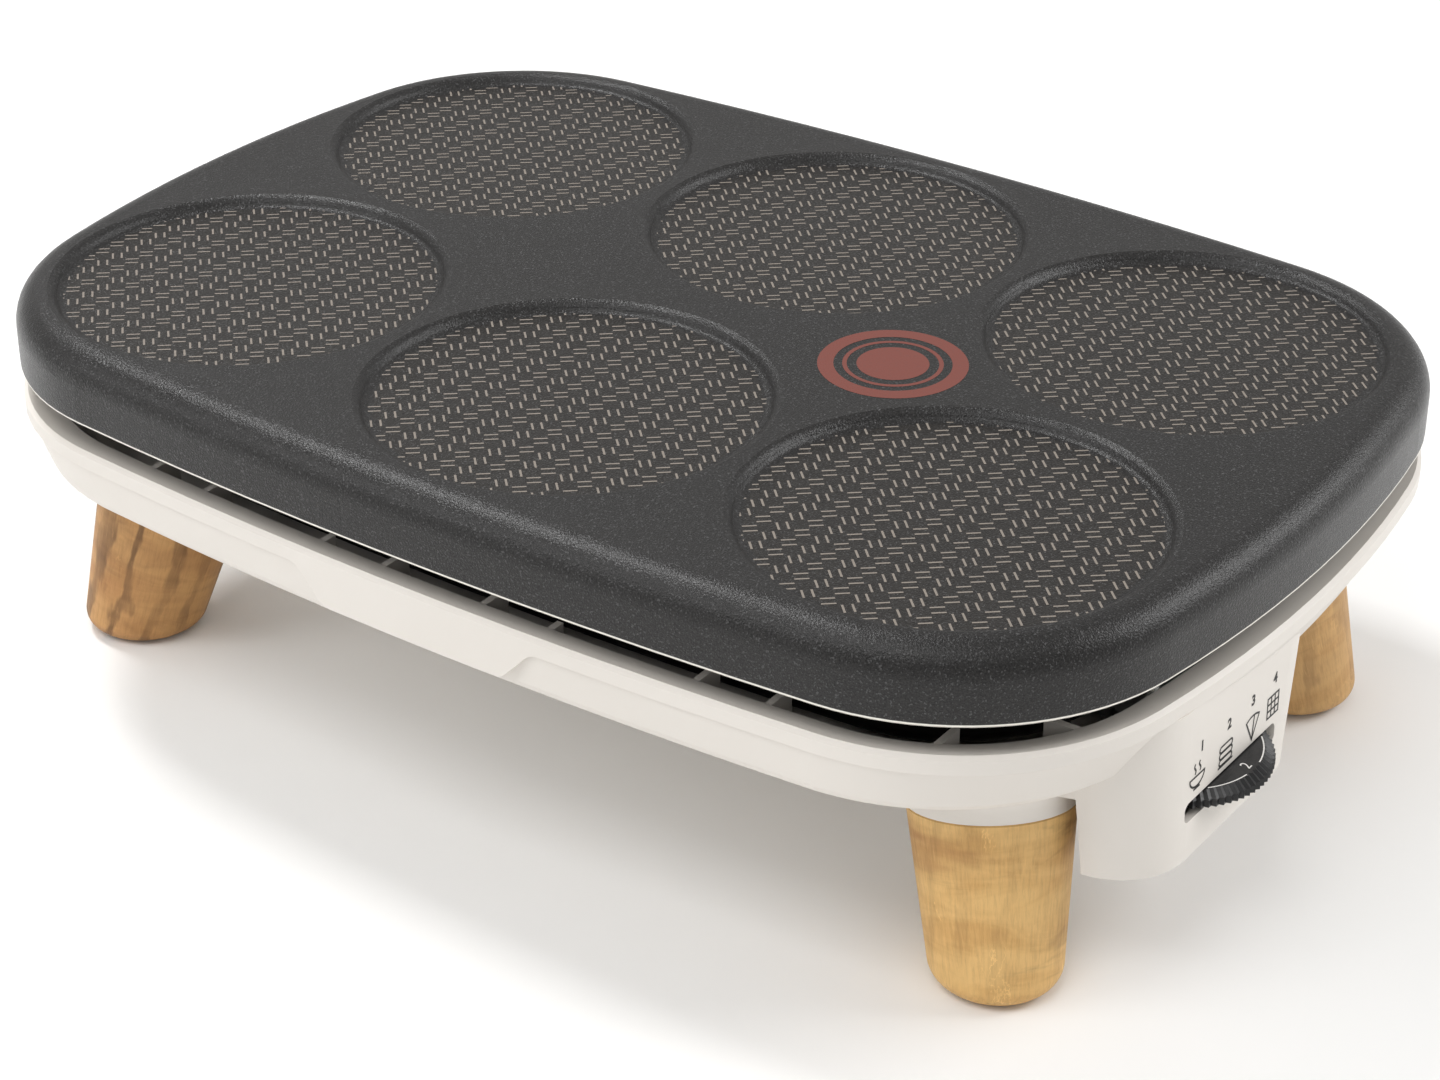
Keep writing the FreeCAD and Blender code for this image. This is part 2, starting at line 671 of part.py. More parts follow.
def base_shell():
    band = outline_prism(0.0, band_bottom, rim_top - rim_edge_bevel)
    crown = outline_taper(0.0, rim_top - rim_edge_bevel, -rim_edge_bevel, rim_top)
    low_offset = -band_step - lower_wall_lean
    lower = outline_taper(low_offset, base_bottom_height, -band_step, band_bottom, end_wall_lean)
    lower = lower.makeFillet(bottom_edge_radius, edges_at_height(lower, base_bottom_height))
    reach = (base_floor_top - leg_point(1, 1, leg_length).z) / leg_axis(1, 1).z + leg_top_radius
    bosses = [boss_outer(sign_x, sign_y, reach) for sign_x, sign_y in leg_corners()]
    keep = outline_prism(low_offset - bottom_edge_radius, 0.0, base_floor_top - 0.5, end_wall_lean)
    bosses = [boss.common(keep) for boss in bosses]
    under = lower.fuse(bosses)
    roots = []
    for edge in edges_at_height(under, base_bottom_height, 0.05):
        middle = edge.BoundBox.Center
        for sign_x, sign_y in leg_corners():
            axis = leg_point(sign_x, sign_y, base_bottom_height / leg_axis(1, 1).z)
            if math.hypot(middle.x - axis.x, middle.y - axis.y) < boss_fillet:
                roots.append(edge)
    under = under.makeFillet(boss_fillet, roots)
    box = box_body(0.0, box_bottom_height, band_bottom).cut(leg_relief(1, -1, box_leg_clearance, box_leg_lift))
    body = under.fuse([band, crown, apron_body(), box])

    # Hollows: rim funnel, room under the lip, control box and leg bosses
    funnel = outline_taper(-rim_lip_width, rim_inner_top, -rim_edge_bevel, rim_top)
    mouth = outline_prism(-rim_lip_width, rim_inner_top - rim_lip_thickness - 1.0, rim_top + 1.0)
    room_top = rim_inner_top - rim_lip_thickness
    room = outline_taper(low_offset - base_wall, base_floor_top, -band_step - base_wall, room_top, end_wall_lean)
    room = room.makeFillet(bottom_edge_radius - base_wall, edges_at_height(room, base_floor_top))
    box_room = box_body(base_wall, box_bottom_height - 1.0, band_bottom)
    box_room = box_room.cut(outline_prism(20.0, base_bottom_height, rim_top + 5.0))
    kept = leg_relief(1, -1, box_leg_clearance + base_wall, box_leg_lift + base_wall)
    box_room = box_room.cut([kept, boss_outer(1, -1, reach)])
    box_room = box_room.fuse(box_hatch())
    boss_rooms = [boss_hollow(sign_x, sign_y, reach) for sign_x, sign_y in leg_corners()]
    ceiling = outline_prism(20.0, base_floor_top + 0.5, rim_top + 30.0)
    boss_rooms = [hollow.cut(ceiling) for hollow in boss_rooms]
    body = body.cut([funnel, mouth, room, box_room] + boss_rooms)

    # Ribs, screw bosses and posts inside
    inside = []
    rib_top = rim_inner_top - rib_top_drop
    for side in (-1, 1):
        for end in (-1, 1):
            for offset in front_rib_offsets + (short_rib_offset, corner_rib_x):
                inside.append(cross_rib(side * offset, end, rib_top))
            inside.append(end_rib(side, end * corner_rib_y, rib_top))
    skin = base_wall * 0.5
    allowed = outline_taper(low_offset - skin, base_bottom_height, -band_step - skin, band_bottom, end_wall_lean)
    allowed = allowed.fuse(outline_prism(-band_step - skin, band_bottom, rib_top))
    inside = [rib.common(allowed) for rib in inside]
    for x, y in tray_screw_places():
        inside.append(cylinder(tray_boss_radius, tray_floor_height - base_floor_top + 0.5, x, y, base_floor_top - 0.5))
    for x, y in bracket_hole_places():
        inside.append(cylinder(bracket_boss_radius, bracket_boss_height + 0.5, x, y, base_floor_top - 0.5))
    box_outer = box_body(0.5, box_bottom_height, band_bottom)
    for x, y in cover_post_places():
        post = cylinder(cover_post_radius, cover_post_height, x, y, cover_top)
        inside.append(post.common(box_outer))
    body = body.fuse(inside)

    # Holes: dial slot, gland, screws and vents
    holes = [dial_slot(), gland_hole()]
    holes.append(cylinder(wheel_radius + wheel_clearance, wheel_thickness + 2.0 * wheel_clearance, wheel_x, wheel_y,
                          wheel_bottom_height - wheel_clearance))
    for sign_x, sign_y in leg_corners():
        bore_radius = leg_screw_radius + screw_hole_clearance
        holes.append(leg_rod(sign_x, sign_y, leg_length - 1.0, leg_length + boss_web + 1.0, bore_radius))
    pilot = screw_radius + screw_fit
    for x, y in tray_screw_places():
        holes.append(cylinder(pilot, 8.0, x, y, tray_floor_height - 8.0))
    for x, y in bracket_hole_places():
        holes.append(cylinder(pilot, bracket_boss_height + 2.0, x, y, bracket_bottom - bracket_boss_height - 2.0))
    for x, y in cover_post_places():
        holes.append(cylinder(pilot, 10.0, x, y, cover_top))
    holes += vent_slots()
    return body.cut(holes).removeSplitter()


def cross_rib(x, end, top):
    # A rib that runs inwards from the front or the rear wall
    short = abs(abs(x) - short_rib_offset) < 0.01
    reach = rib_short_reach if short else rib_reach
    profile = outline(-rim_lip_width, 0.0)
    wall_y = abs(profile.common(block(x - 0.01, x + 0.01, -2.0 * half_width, 0, -1, 1)).BoundBox.YMin)
    inner = wall_y - reach
    outer = wall_y + rim_lip_width
    y_low = min(end * inner, end * outer)
    y_high = max(end * inner, end * outer)
    return block(x - rib_thickness / 2, x + rib_thickness / 2, y_low, y_high, base_floor_top - 0.5, top)


def end_rib(side, y, top):
    # A rib that runs inwards from an end wall
    profile = outline(-rim_lip_width, 0.0)
    wall_x = profile.common(block(0, 2.0 * half_length, abs(y) - 0.01, abs(y) + 0.01, -1, 1)).BoundBox.XMax
    inner = wall_x - rib_reach
    outer = wall_x + rim_lip_width
    x_low = min(side * inner, side * outer)
    x_high = max(side * inner, side * outer)
    return block(x_low, x_high, y - rib_thickness / 2, y + rib_thickness / 2, base_floor_top - 0.5, top)


def dial_slot():
    # Rounded opening in the face of the control box
    radius = slot_corner_radius
    high = slot_bottom_height + slot_height
    radii = (radius, radius, radius, radius)
    wire = rounded_rectangle(slot_front_y, slot_rear_y, slot_bottom_height, high, radii, 0.0)
    tool = Part.Face(wire).extrude(point(0, 0, 14.0))
    # Plan X and Y of the drawn shape become Y and Z of the object
    turn = FreeCAD.Rotation(point(0, 1, 0), point(0, 0, 1), point(1, 0, 0), "XYZ")
    tool.Placement = FreeCAD.Placement(point(box_face_x - 9.0, 0, 0), turn)
    return tool


def gland_direction():
    # Square to the leaning rear wall of the control box
    return point(0, band_bottom - box_bottom_height, -box_rear_lean).normalize()


def gland_place(depth):
    # On the gland's axis, at a depth below the outside of the wall
    share = (gland_height - box_bottom_height) / (band_bottom - box_bottom_height)
    return point(gland_x, box_rear_y + box_rear_lean * share, gland_height) - gland_direction() * depth


def gland_hole():
    bore_radius = gland_body_radius + gland_clearance
    return Part.makeCylinder(bore_radius, 4.0 * base_wall, gland_place(2.0 * base_wall), gland_direction())


def box_hatch():
    # Opening in the base floor over the control box, for the thermostat and the wires
    x_high = bracket_x + thermostat_length / 2.0 + hatch_clearance
    y_low = wheel_y - thermostat_width / 2.0 - hatch_clearance
    radii = (thermostat_corner_radius + hatch_clearance,) * 4
    wire = rounded_rectangle(x_high - hatch_length, x_high, y_low, y_low + hatch_width, radii, base_bottom_height - 1.0)
    return Part.Face(wire).extrude(point(0, 0, bracket_bottom + hatch_clearance - base_bottom_height + 1.0))


def vent_slots():
    slots = []
    first = -(vent_slots_per_row - 1) / 2.0 * vent_slot_pitch
    for row in (-1, 1):
        for number in range(vent_slots_per_row):
            x = first + number * vent_slot_pitch
            y = row * vent_row_offset
            half = vent_slot_length / 2.0
            radius = vent_slot_width / 2.0 - 0.01
            wire = rounded_rectangle(x - vent_slot_width / 2.0, x + vent_slot_width / 2.0, y - half, y + half,
                                     (radius, radius, radius, radius), base_bottom_height - 1.0)
            slots.append(Part.Face(wire).extrude(point(0, 0, base_wall + 2.0)))
    return slots


def reflector_tray():
    floor = tray_floor_height
    outer = outline_prism(-tray_inset, floor, floor + tray_depth)
    outer = outer.makeFillet(tray_corner_radius, edges_at_height(outer, floor))
    inner = outline_prism(-tray_inset - tray_sheet, floor + tray_sheet, floor + tray_depth + 1.0)
    inner = inner.makeFillet(tray_corner_radius - tray_sheet, edges_at_height(inner, floor + tray_sheet))
    holes = []
    for x, y in tray_screw_places():
        holes.append(cylinder(screw_radius + screw_hole_clearance, 4.0, x, y, floor - 1.0))
    for x, y in terminal_places():
        holes.append(cylinder(bead_radius - 1.5, 4.0, x, y, floor - 1.0))
    for x, y in support_places() + [(earth_x, earth_y)]:
        holes.append(cylinder(screw_radius + screw_fit, 4.0, x, y, floor - 1.0))
    holes.append(cylinder(capillary_radius + 0.6, 4.0, sensor_x, sensor_y, floor - 1.0))
    return outer.cut([inner] + holes).removeSplitter()


def tray_screws():
    # Six hold the tray, four hold the posts from below and one holds the earth tag
    screws = [pan_screw(x, y, tray_top, tray_screw_length) for x, y in tray_screw_places()]
    screws += [pan_screw(x, y, tray_floor_height, tray_screw_length, -1) for x, y in support_places()]
    screws.append(pan_screw(earth_x, earth_y, tray_top, earth_screw_length))
    return Part.makeCompound(screws)


def terminal_places():
    return [(element_outer_x, element_front_terminal_y), (element_rear_terminal_x, element_rear_terminal_y)]


def heating_element():
    level = element_height
    foot = tray_floor_height - 1.0
    outer_x = element_outer_x
    outer_y = element_outer_y
    inner_x = element_inner_x
    inner_y = element_inner_y
    front_y = element_front_terminal_y
    rear_x = element_rear_terminal_x
    rear_y = element_rear_terminal_y
    points = [
        point(outer_x, front_y, foot),
        point(outer_x, front_y, level),
        point(outer_x, -outer_y, level),
        point(-outer_x, -outer_y, level),
        point(-outer_x, outer_y, level),
        point(outer_x, outer_y, level),
        point(outer_x, inner_y, level),
        point(-inner_x, inner_y, level),
        point(-inner_x, -inner_y, level),
        point(inner_x, -inner_y, level),
        point(inner_x, rear_y, level),
        point(rear_x, rear_y, level),
        point(rear_x, rear_y, foot),
    ]
    return bent_tube(points, element_radius, element_bend_radius)


def element_beads():
    # Ceramic beads stand on the tray round the two ends of the tube
    beads = []
    for x, y in terminal_places():
        bore = element_radius + bead_fit
        profile = [
            (bore, tray_top),
            (bead_radius, tray_top),
            (bead_radius, tray_top + bead_height - bead_shoulder),
            (bead_radius - bead_shoulder, tray_top + bead_height),
            (bore, tray_top + bead_height),
        ]
        beads.append(revolved(profile, point(x, y, 0)))
    return Part.makeCompound(beads)


def element_terminals():
    # Flat blades under the ends of the tube
    blades = []
    for x, y in terminal_places():
        top = tray_floor_height - 1.0
        blades.append(block(x - 3.15, x + 3.15, y - 0.4, y + 0.4, top - terminal_length, top))
    return Part.makeCompound(blades)


def element_bracket(x, y, along_x):
    # Pressed strip: a foot on the tray and a riser with a cradle for the tube
    half = bracket_strip_width / 2.0
    thick = bracket_strip_thickness
    top = element_height + element_radius * 0.35
    riser = block(-thick / 2, thick / 2, -half, half, tray_top, top)
    foot = block(-thick / 2, bracket_foot_length, -half, half, tray_top, tray_top + thick)
    cradle = cylinder(element_radius + bracket_cradle_fit, 2 * thick, -thick, 0, element_height, point(1, 0, 0))
    throat = block(-thick, thick, -element_radius - bracket_cradle_fit, element_radius + bracket_cradle_fit,
                   element_height, top + 1.0)
    window = block(-thick, thick, -half * 0.5, half * 0.5, tray_top + 6.0, element_height - 9.0)
    strip = riser.fuse(foot).cut([cradle, throat, window]).removeSplitter()
    turn = 0.0 if along_x else 90.0
    strip.Placement = FreeCAD.Placement(point(x, y, 0), FreeCAD.Rotation(up, turn))
    return strip


def element_brackets():
    places = (
        (0.0, -element_outer_y, True),
        (0.0, element_outer_y, True),
        (-element_outer_x, 0.0, False),
        (element_outer_x - bracket_setback, -element_outer_y, True),
        (element_outer_x - bracket_setback, element_outer_y, True),
        (-element_outer_x + bracket_setback, -element_outer_y, True),
        (-element_outer_x + bracket_setback, element_outer_y, True),
        (0.0, -element_inner_y, True),
        (0.0, element_inner_y, True),
    )
    return Part.makeCompound([element_bracket(x, y, along) for x, y, along in places])


def plate_support_posts():
    top = plate_ceiling - plate_rest_gap - support_cap_height + support_cap_overlap
    posts = []
    for x, y in support_places():
        profile = [
            (0.0, tray_top),
            (support_foot_radius, tray_top),
            (support_foot_radius, tray_top + support_foot_thickness),
            (support_radius, tray_top + support_foot_thickness + 2.0),
            (support_radius, top),
            (0.0, top),
        ]
        post = revolved(profile, point(x, y, 0))
        posts.append(post.cut(cylinder(screw_radius + screw_fit, 9.0, x, y, tray_top - 1.0)))
    return Part.makeCompound(posts)


def support_post_caps():
    top = plate_ceiling - plate_rest_gap
    low = top - support_cap_height
    bore_top = low + support_cap_overlap
    caps = []
    for x, y in support_places():
        profile = [
            (support_radius, low),
            (support_cap_radius, low),
            (support_cap_radius, top - 0.8),
            (support_cap_radius - 0.8, top),
            (0.0, top),
            (0.0, bore_top),
            (support_radius, bore_top),
        ]
        caps.append(revolved(profile, point(x, y, 0)))
    return Part.makeCompound(caps)


def sensor_guide():
    # Closed cup with a bushed top that lets the stem through
    low = tray_top
    top = low + sensor_guide_height
    floor = 2.0
    profile = [
        (0.0, low),
        (sensor_guide_radius + 3.0, low),
        (sensor_guide_radius + 3.0, low + 1.5),
        (sensor_guide_radius, low + 3.0),
        (sensor_guide_radius, top - 1.0),
        (sensor_guide_radius - 1.0, top),
        (sensor_stem_radius + sensor_guide_fit, top),
        (sensor_stem_radius + sensor_guide_fit, top - 3.0),
        (sensor_stop_radius + 0.4, top - 3.0),
        (sensor_stop_radius + 0.4, low + floor),
        (0.0, low + floor),
    ]
    return revolved(profile, point(sensor_x, sensor_y, 0))


def sensor_plunger():
    head_top = plate_ceiling - sensor_rest_gap
    head_low = head_top - sensor_head_height
    stop_top = tray_top + sensor_guide_height - 3.0 - 0.1
    profile = [
        (0.0, stop_top - sensor_stop_thickness),
        (sensor_stop_radius, stop_top - sensor_stop_thickness),
        (sensor_stop_radius, stop_top),
        (sensor_stem_radius, stop_top),
        (sensor_stem_radius, head_low),
        (sensor_head_radius, head_low),
        (sensor_head_radius, head_top - 1.0),
        (sensor_head_radius - 1.0, head_top),
        (0.0, head_top),
    ]
    return revolved(profile, point(sensor_x, sensor_y, 0))


def sensor_spring():
    # Coil under the plunger, as short three-point arcs along a helix
    low = tray_top + 2.0 + spring_wire_radius + 0.1
    stop_low = tray_top + sensor_guide_height - 3.1 - sensor_stop_thickness
    high = stop_low - spring_wire_radius - 0.1
    radius = sensor_stop_radius - spring_wire_radius - 0.3
    steps = spring_turns * 4
    rise = (high - low) / steps

    def along(step):
        angle = math.pi / 2.0 * step
        return point(sensor_x + radius * math.cos(angle), sensor_y + radius * math.sin(angle), low + rise * step)

    arcs = []
    for number in range(steps):
        arcs.append(Part.Arc(along(number), along(number + 0.5), along(number + 1)).toShape())
    path = Part.Wire(arcs)
    start = along(0)
    ahead = arcs[0].tangentAt(arcs[0].FirstParameter)
    section = polygon_ring(spring_wire_radius, spring_wire_sides, start, ahead.normalize())
    return path.makePipeShell([section], True, True)


def capillary_tube():
    # From the guide through the tray, over the hatch and down to the side of the thermostat
    level = base_floor_top + capillary_radius + 2.0
    side_x = bracket_x - thermostat_length / 2.0
    drop_x = side_x - 6.0
    port_z = bracket_bottom - thermostat_height * 0.6
    points = [
        point(sensor_x, sensor_y, tray_top - 0.1),
        point(sensor_x, sensor_y, level),
        point(sensor_x + capillary_run, sensor_y - capillary_bend_side, level),
        point(drop_x, wheel_y + 8.0, level),
        point(drop_x, wheel_y + 8.0, port_z),
        point(side_x - 0.1, wheel_y + 8.0, port_z),
    ]
    return bent_tube(points, capillary_radius, 2.4, wire_sides)


def thermostat_body():
    low = bracket_bottom - thermostat_height
    radii = (thermostat_corner_radius,) * 4
    x_half = thermostat_length / 2.0
    y_half = thermostat_width / 2.0
    wire = rounded_rectangle(bracket_x - x_half, bracket_x + x_half, wheel_y - y_half, wheel_y + y_half, radii, low)
    body = Part.Face(wire).extrude(point(0, 0, thermostat_height))
    collar = cylinder(shaft_radius + 3.0, 2.0, wheel_x, wheel_y, low - 2.0)
    body = body.fuse(collar)
    holes = [cylinder(shaft_radius + shaft_fit, shaft_hold + 2.0, wheel_x, wheel_y, low - 2.0)]
    for x, y in thermostat_screw_places():
        holes.append(cylinder(screw_radius + screw_fit, 7.0, x, y, bracket_bottom - 7.0))
    return body.cut(holes).removeSplitter()


def thermostat_screw_places():
    half = thermostat_screw_pitch / 2.0
    return ((bracket_x, wheel_y - half), (bracket_x, wheel_y + half))


def thermostat_bracket():
    low = bracket_bottom
    half = bracket_width / 2.0
    radii = (half - 0.5,) * 4
    wire = rounded_rectangle(bracket_x - half, bracket_x + half, bracket_front_y, bracket_rear_y, radii, low)
    bar = Part.Face(wire).extrude(point(0, 0, bracket_thickness))
    holes = []
    for x, y in bracket_hole_places() + thermostat_screw_places():
        holes.append(cylinder(screw_radius + screw_hole_clearance, bracket_thickness + 2.0, x, y, low - 1.0))
    return bar.cut(holes)


def thermostat_screws():
    seat = bracket_bottom + bracket_thickness
    screws = [pan_screw(x, y, seat, thermostat_screw_length) for x, y in thermostat_screw_places()]
    screws += [pan_screw(x, y, seat, bracket_screw_length) for x, y in bracket_hole_places()]
    return Part.makeCompound(screws)


def dial_shaft():
    low = cover_top + 1.0
    top = bracket_bottom - thermostat_height + shaft_hold - 0.3
    shaft = cylinder(shaft_radius, top - low, wheel_x, wheel_y, low)
    flat_x = wheel_x + shaft_radius - shaft_flat
    flat = block(flat_x, flat_x + 3.0, wheel_y - 5.0, wheel_y + 5.0, wheel_bottom_height - 1.0, top + 1.0)
    return shaft.cut(flat)


def knurl_wire(radius, height):
    points = []
    for number in range(knurl_count):
        for share, depth in ((0.0, 0.0), (0.5, knurl_depth)):
            angle = 2.0 * math.pi * (number + share) / knurl_count
            reach = radius - depth
            points.append(point(wheel_x + reach * math.cos(angle), wheel_y + reach * math.sin(angle), height))
    return Part.makePolygon(points + points[:1])


def dial_wheel():
    # Knurled rim with a bevelled top edge
    knee = wheel_top - wheel_bevel_height
    rim = Part.makeLoft([knurl_wire(wheel_radius, wheel_bottom_height), knurl_wire(wheel_radius, knee)], True, True)
    bevel = Part.makeLoft([knurl_wire(wheel_radius, knee), knurl_wire(wheel_radius - wheel_bevel, wheel_top)], True, True)
    groove = cylinder(wheel_groove_outer_radius, wheel_groove_depth, wheel_x, wheel_y, wheel_bottom_height)
    groove = groove.cut(cylinder(wheel_groove_inner_radius, wheel_groove_depth, wheel_x, wheel_y, wheel_bottom_height))
    bore = cylinder(shaft_radius + shaft_fit, wheel_thickness + 2.0, wheel_x, wheel_y, wheel_bottom_height - 1.0)
    flat_x = wheel_x + shaft_radius - shaft_flat + shaft_fit
    key = block(flat_x, flat_x + 3.0, wheel_y - 5.0, wheel_y + 5.0, wheel_bottom_height - 2.0, wheel_top + 2.0)
    return rim.fuse(bevel).cut([groove, bore.cut(key)]).removeSplitter()


def thermal_fuse():
    # Lies under the tray in its clip, with its two wires bent out
    level = tray_floor_height - fuse_radius - fuse_clip_sheet - 0.1
    body = cylinder(fuse_radius, fuse_length, fuse_x - fuse_length / 2, fuse_y, level, point(1, 0, 0))
    wire = cylinder(0.5, fuse_length + 10.0, fuse_x - fuse_length / 2 - 5.0, fuse_y, level, point(1, 0, 0))
    return joined([body, wire])


def fuse_clip():
    level = tray_floor_height - fuse_radius - fuse_clip_sheet - 0.1
    start = fuse_x - 3.0
    ring = cylinder(fuse_radius + fuse_clip_sheet, 6.0, start, fuse_y, level, point(1, 0, 0))
    bore = cylinder(fuse_radius + 0.05, 8.0, start - 1.0, fuse_y, level, point(1, 0, 0))
    tab = block(start, start + 6.0, fuse_y - 9.0, fuse_y, tray_floor_height - fuse_clip_sheet - 0.05, tray_floor_height - 0.05)
    return ring.fuse(tab).cut(bore).removeSplitter()


def terminal_block_centre():
    x = box_back_x + base_wall + 2.0 * cover_post_radius + 2.0 + terminal_block_length / 2.0
    y = box_rear_y - base_wall - terminal_block_setback
    return point(x, y, cover_top + terminal_block_stand + terminal_block_height / 2.0)


def terminal_way(number):
    # Mouth of one way of the block, on the side away from the rear wall
    centre = terminal_block_centre()
    return point(centre.x + number * terminal_way_pitch, centre.y - terminal_block_width / 2.0, centre.z)


def terminal_block():
    centre = terminal_block_centre()
    half_x = terminal_block_length / 2.0
    half_y = terminal_block_width / 2.0
    half_z = terminal_block_height / 2.0
    body = block(centre.x - half_x, centre.x + half_x, centre.y - half_y, centre.y + half_y,
                 centre.z - half_z, centre.z + half_z)
    stand = cylinder(4.0, terminal_block_stand, centre.x, centre.y, cover_top)
    ways = []
    for number in (-1, 0, 1):
        mouth = terminal_way(number)
        ways.append(cylinder(wire_radius + 0.3, terminal_block_width + 2.0, mouth.x, mouth.y - 1.0, mouth.z, point(0, 1, 0)))
    return body.fuse(stand).cut(ways).removeSplitter()


def wire_height():
    return base_floor_top + wire_radius + 1.2


def thermostat_lead():
    # From the block to the rear side of the thermostat
    start = terminal_way(1) + point(0, 3.0, 0)
    port = point(bracket_x - 6.0, wheel_y + thermostat_width / 2.0, bracket_bottom - thermostat_height * 0.5)
    points = [
        start,
        point(start.x, start.y - 7.0, start.z),
        point(start.x, start.y - 7.0, port.z),
        point(port.x, port.y + 8.0, port.z),
        point(port.x, port.y + 0.1, port.z),
    ]
    return bent_tube(points, wire_radius, 2.2, wire_sides)


def element_lead():
    # From the thermostat to the front end of the tube
    x, y = terminal_places()[0]
    port = point(bracket_x - 10.0, wheel_y + thermostat_width / 2.0, bracket_bottom - thermostat_height * 0.25)
    end_z = tray_floor_height - 1.0 - terminal_length * 0.5
    points = [
        port + point(0, 0.1, 0),
        port + point(0, 5.0, 0),
        point(x, y - 5.5, end_z),
        point(x, y - 0.5, end_z),
    ]
    return bent_tube(points, wire_radius, 1.8, wire_sides)


def return_lead():
    # From the block up through the hatch to the rear end of the tube
    x, y = terminal_places()[1]
    start = terminal_way(0) + point(0, 3.0, 0)
    hatch_x = bracket_x + thermostat_length / 2.0 + hatch_clearance - hatch_length + 6.0
    level = wire_height()
    points = [
        start,
        point(start.x, start.y + 2.0 - return_lead_setback, start.z),
        point(hatch_x, start.y - return_lead_setback, start.z + lead_rise),
        point(hatch_x, start.y - return_lead_setback, level),
        point(x, start.y + 8.0, level),
        point(x, y - 0.5, level),
    ]
    return bent_tube(points, wire_radius, 2.0, wire_sides)


def earth_lead():
    # From the block up through the hatch to the tag under the tray
    start = terminal_way(-1) + point(0, 3.0, 0)
    hatch_x = bracket_x + thermostat_length / 2.0 + hatch_clearance - hatch_length + 3.0
    level = wire_height()
    tag = earth_place()
    points = [
        start,
        point(start.x, start.y + 2.0 - earth_lead_setback, start.z),
        point(hatch_x, start.y - earth_lead_setback, start.z + lead_rise),
        point(hatch_x, start.y - earth_lead_setback, level),
        point(tag.x + 12.0, tag.y, level),
        point(tag.x + 4.0, tag.y, level),
    ]
    return bent_tube(points, wire_radius, 2.0, wire_sides)


def earth_place():
    return point(earth_x, earth_y, tray_floor_height)


def earth_tag():
    # Ring tag held under the tray by its own screw
    tag = earth_place()
    ring = cylinder(4.0, 0.8, tag.x, tag.y, tag.z - 0.8)
    barrel = cylinder(wire_radius + 0.7, 6.0, tag.x + 3.4, tag.y, wire_height(), point(1, 0, 0))
    web = block(tag.x + 3.0, tag.x + 6.0, tag.y - 1.0, tag.y + 1.0, wire_height(), tag.z)
    wire_bore = cylinder(wire_radius + 0.05, 10.0, tag.x + 3.9, tag.y, wire_height(), point(1, 0, 0))
    hole = cylinder(screw_radius + screw_fit, 4.0, tag.x, tag.y, tag.z - 2.0)
    return ring.fuse([barrel, web]).cut([wire_bore, hole]).removeSplitter()


def cord_gland():
    # Bush through the rear wall of the control box, flanged outside and inside
    wall = base_wall * gland_direction().y
    barrel = wall + 2.0 * gland_seat_gap
    inner_flange = gland_flange_radius - 1.0
    profile = [
        (gland_bore_radius, -1.5),
        (inner_flange, -1.5),
        (inner_flange, 0.0),
        (gland_body_radius, 0.0),
        (gland_body_radius, barrel),
        (gland_flange_radius, barrel),
        (gland_flange_radius, barrel + gland_flange_thickness - 1.0),
        (gland_flange_radius - 1.0, barrel + gland_flange_thickness),
        (gland_bore_radius, barrel + gland_flange_thickness),
    ]
    return revolved(profile, gland_place(wall + gland_seat_gap), gland_direction())


def control_box_cover():
    inset = base_wall + cover_clearance
    plate = box_body(inset, cover_bottom, cover_top)
    plate = plate.cut(leg_relief(1, -1, box_leg_clearance + base_wall + cover_clearance, base_wall))
    pivot = cylinder(shaft_radius + pivot_wall, pivot_depth, wheel_x, wheel_y, cover_top)
    bore = cylinder(shaft_radius + shaft_fit, pivot_depth + 1.0, wheel_x, wheel_y, cover_top + 0.5)
    holes = [bore]
    for x, y in cover_post_places():
        holes.append(cylinder(screw_radius + screw_hole_clearance, 6.0, x, y, cover_bottom - 1.0))
    return plate.fuse(pivot).cut(holes).removeSplitter()


def cover_screws():
    return Part.makeCompound([pan_screw(x, y, cover_bottom, cover_screw_length, -1) for x, y in cover_post_places()])


def leg(sign_x, sign_y):
    # Turned cone along the splayed axis, cut level at the foot
    slope = (leg_top_radius - leg_foot_radius) / leg_length
    low = -12.0
    cone = leg_cone(sign_x, sign_y, low, leg_length - leg_top_bevel, leg_foot_radius + slope * low,
                    leg_top_radius - slope * leg_top_bevel)
    bevel = leg_cone(sign_x, sign_y, leg_length - leg_top_bevel, leg_length, leg_top_radius - slope * leg_top_bevel,
                     leg_top_radius - leg_top_bevel)
    body = cone.fuse(bevel)
    foot = leg_foot_clearance
    body = body.cut(block(-half_length, half_length, -half_length, half_length, -leg_length, foot))
    body = body.makeFillet(leg_foot_round, edges_at_height(body, foot, 0.02))
    bore_low = leg_length - leg_insert_length - 6.0
    bore = leg_rod(sign_x, sign_y, bore_low, leg_length + 1.0, leg_insert_radius + insert_fit)
    x, y = foot_centre(sign_x, sign_y)
    recess = cylinder(pad_radius + 0.1, pad_recess_depth + 1.0, x, y, foot - 1.0)
    return body.cut([bore, recess]).removeSplitter()


def foot_centre(sign_x, sign_y):
    return (sign_x * leg_foot_x, sign_y * leg_foot_y)


def foot_pads():
    thickness = leg_foot_clearance + pad_recess_depth - 0.05
    pads = []
    for sign_x, sign_y in leg_corners():
        x, y = foot_centre(sign_x, sign_y)
        pads.append(cylinder(pad_radius, thickness, x, y, 0.0))
    return Part.makeCompound(pads)


def leg_inserts():
    # Threaded bushes let into the tops of the legs
    inserts = []
    for sign_x, sign_y in leg_corners():
        low = leg_length - leg_insert_length
        bush = leg_rod(sign_x, sign_y, low, leg_length, leg_insert_radius)
        bore = leg_rod(sign_x, sign_y, low - 1.0, leg_length + 1.0, leg_screw_radius + insert_fit)
        inserts.append(bush.cut(bore))
    return Part.makeCompound(inserts)


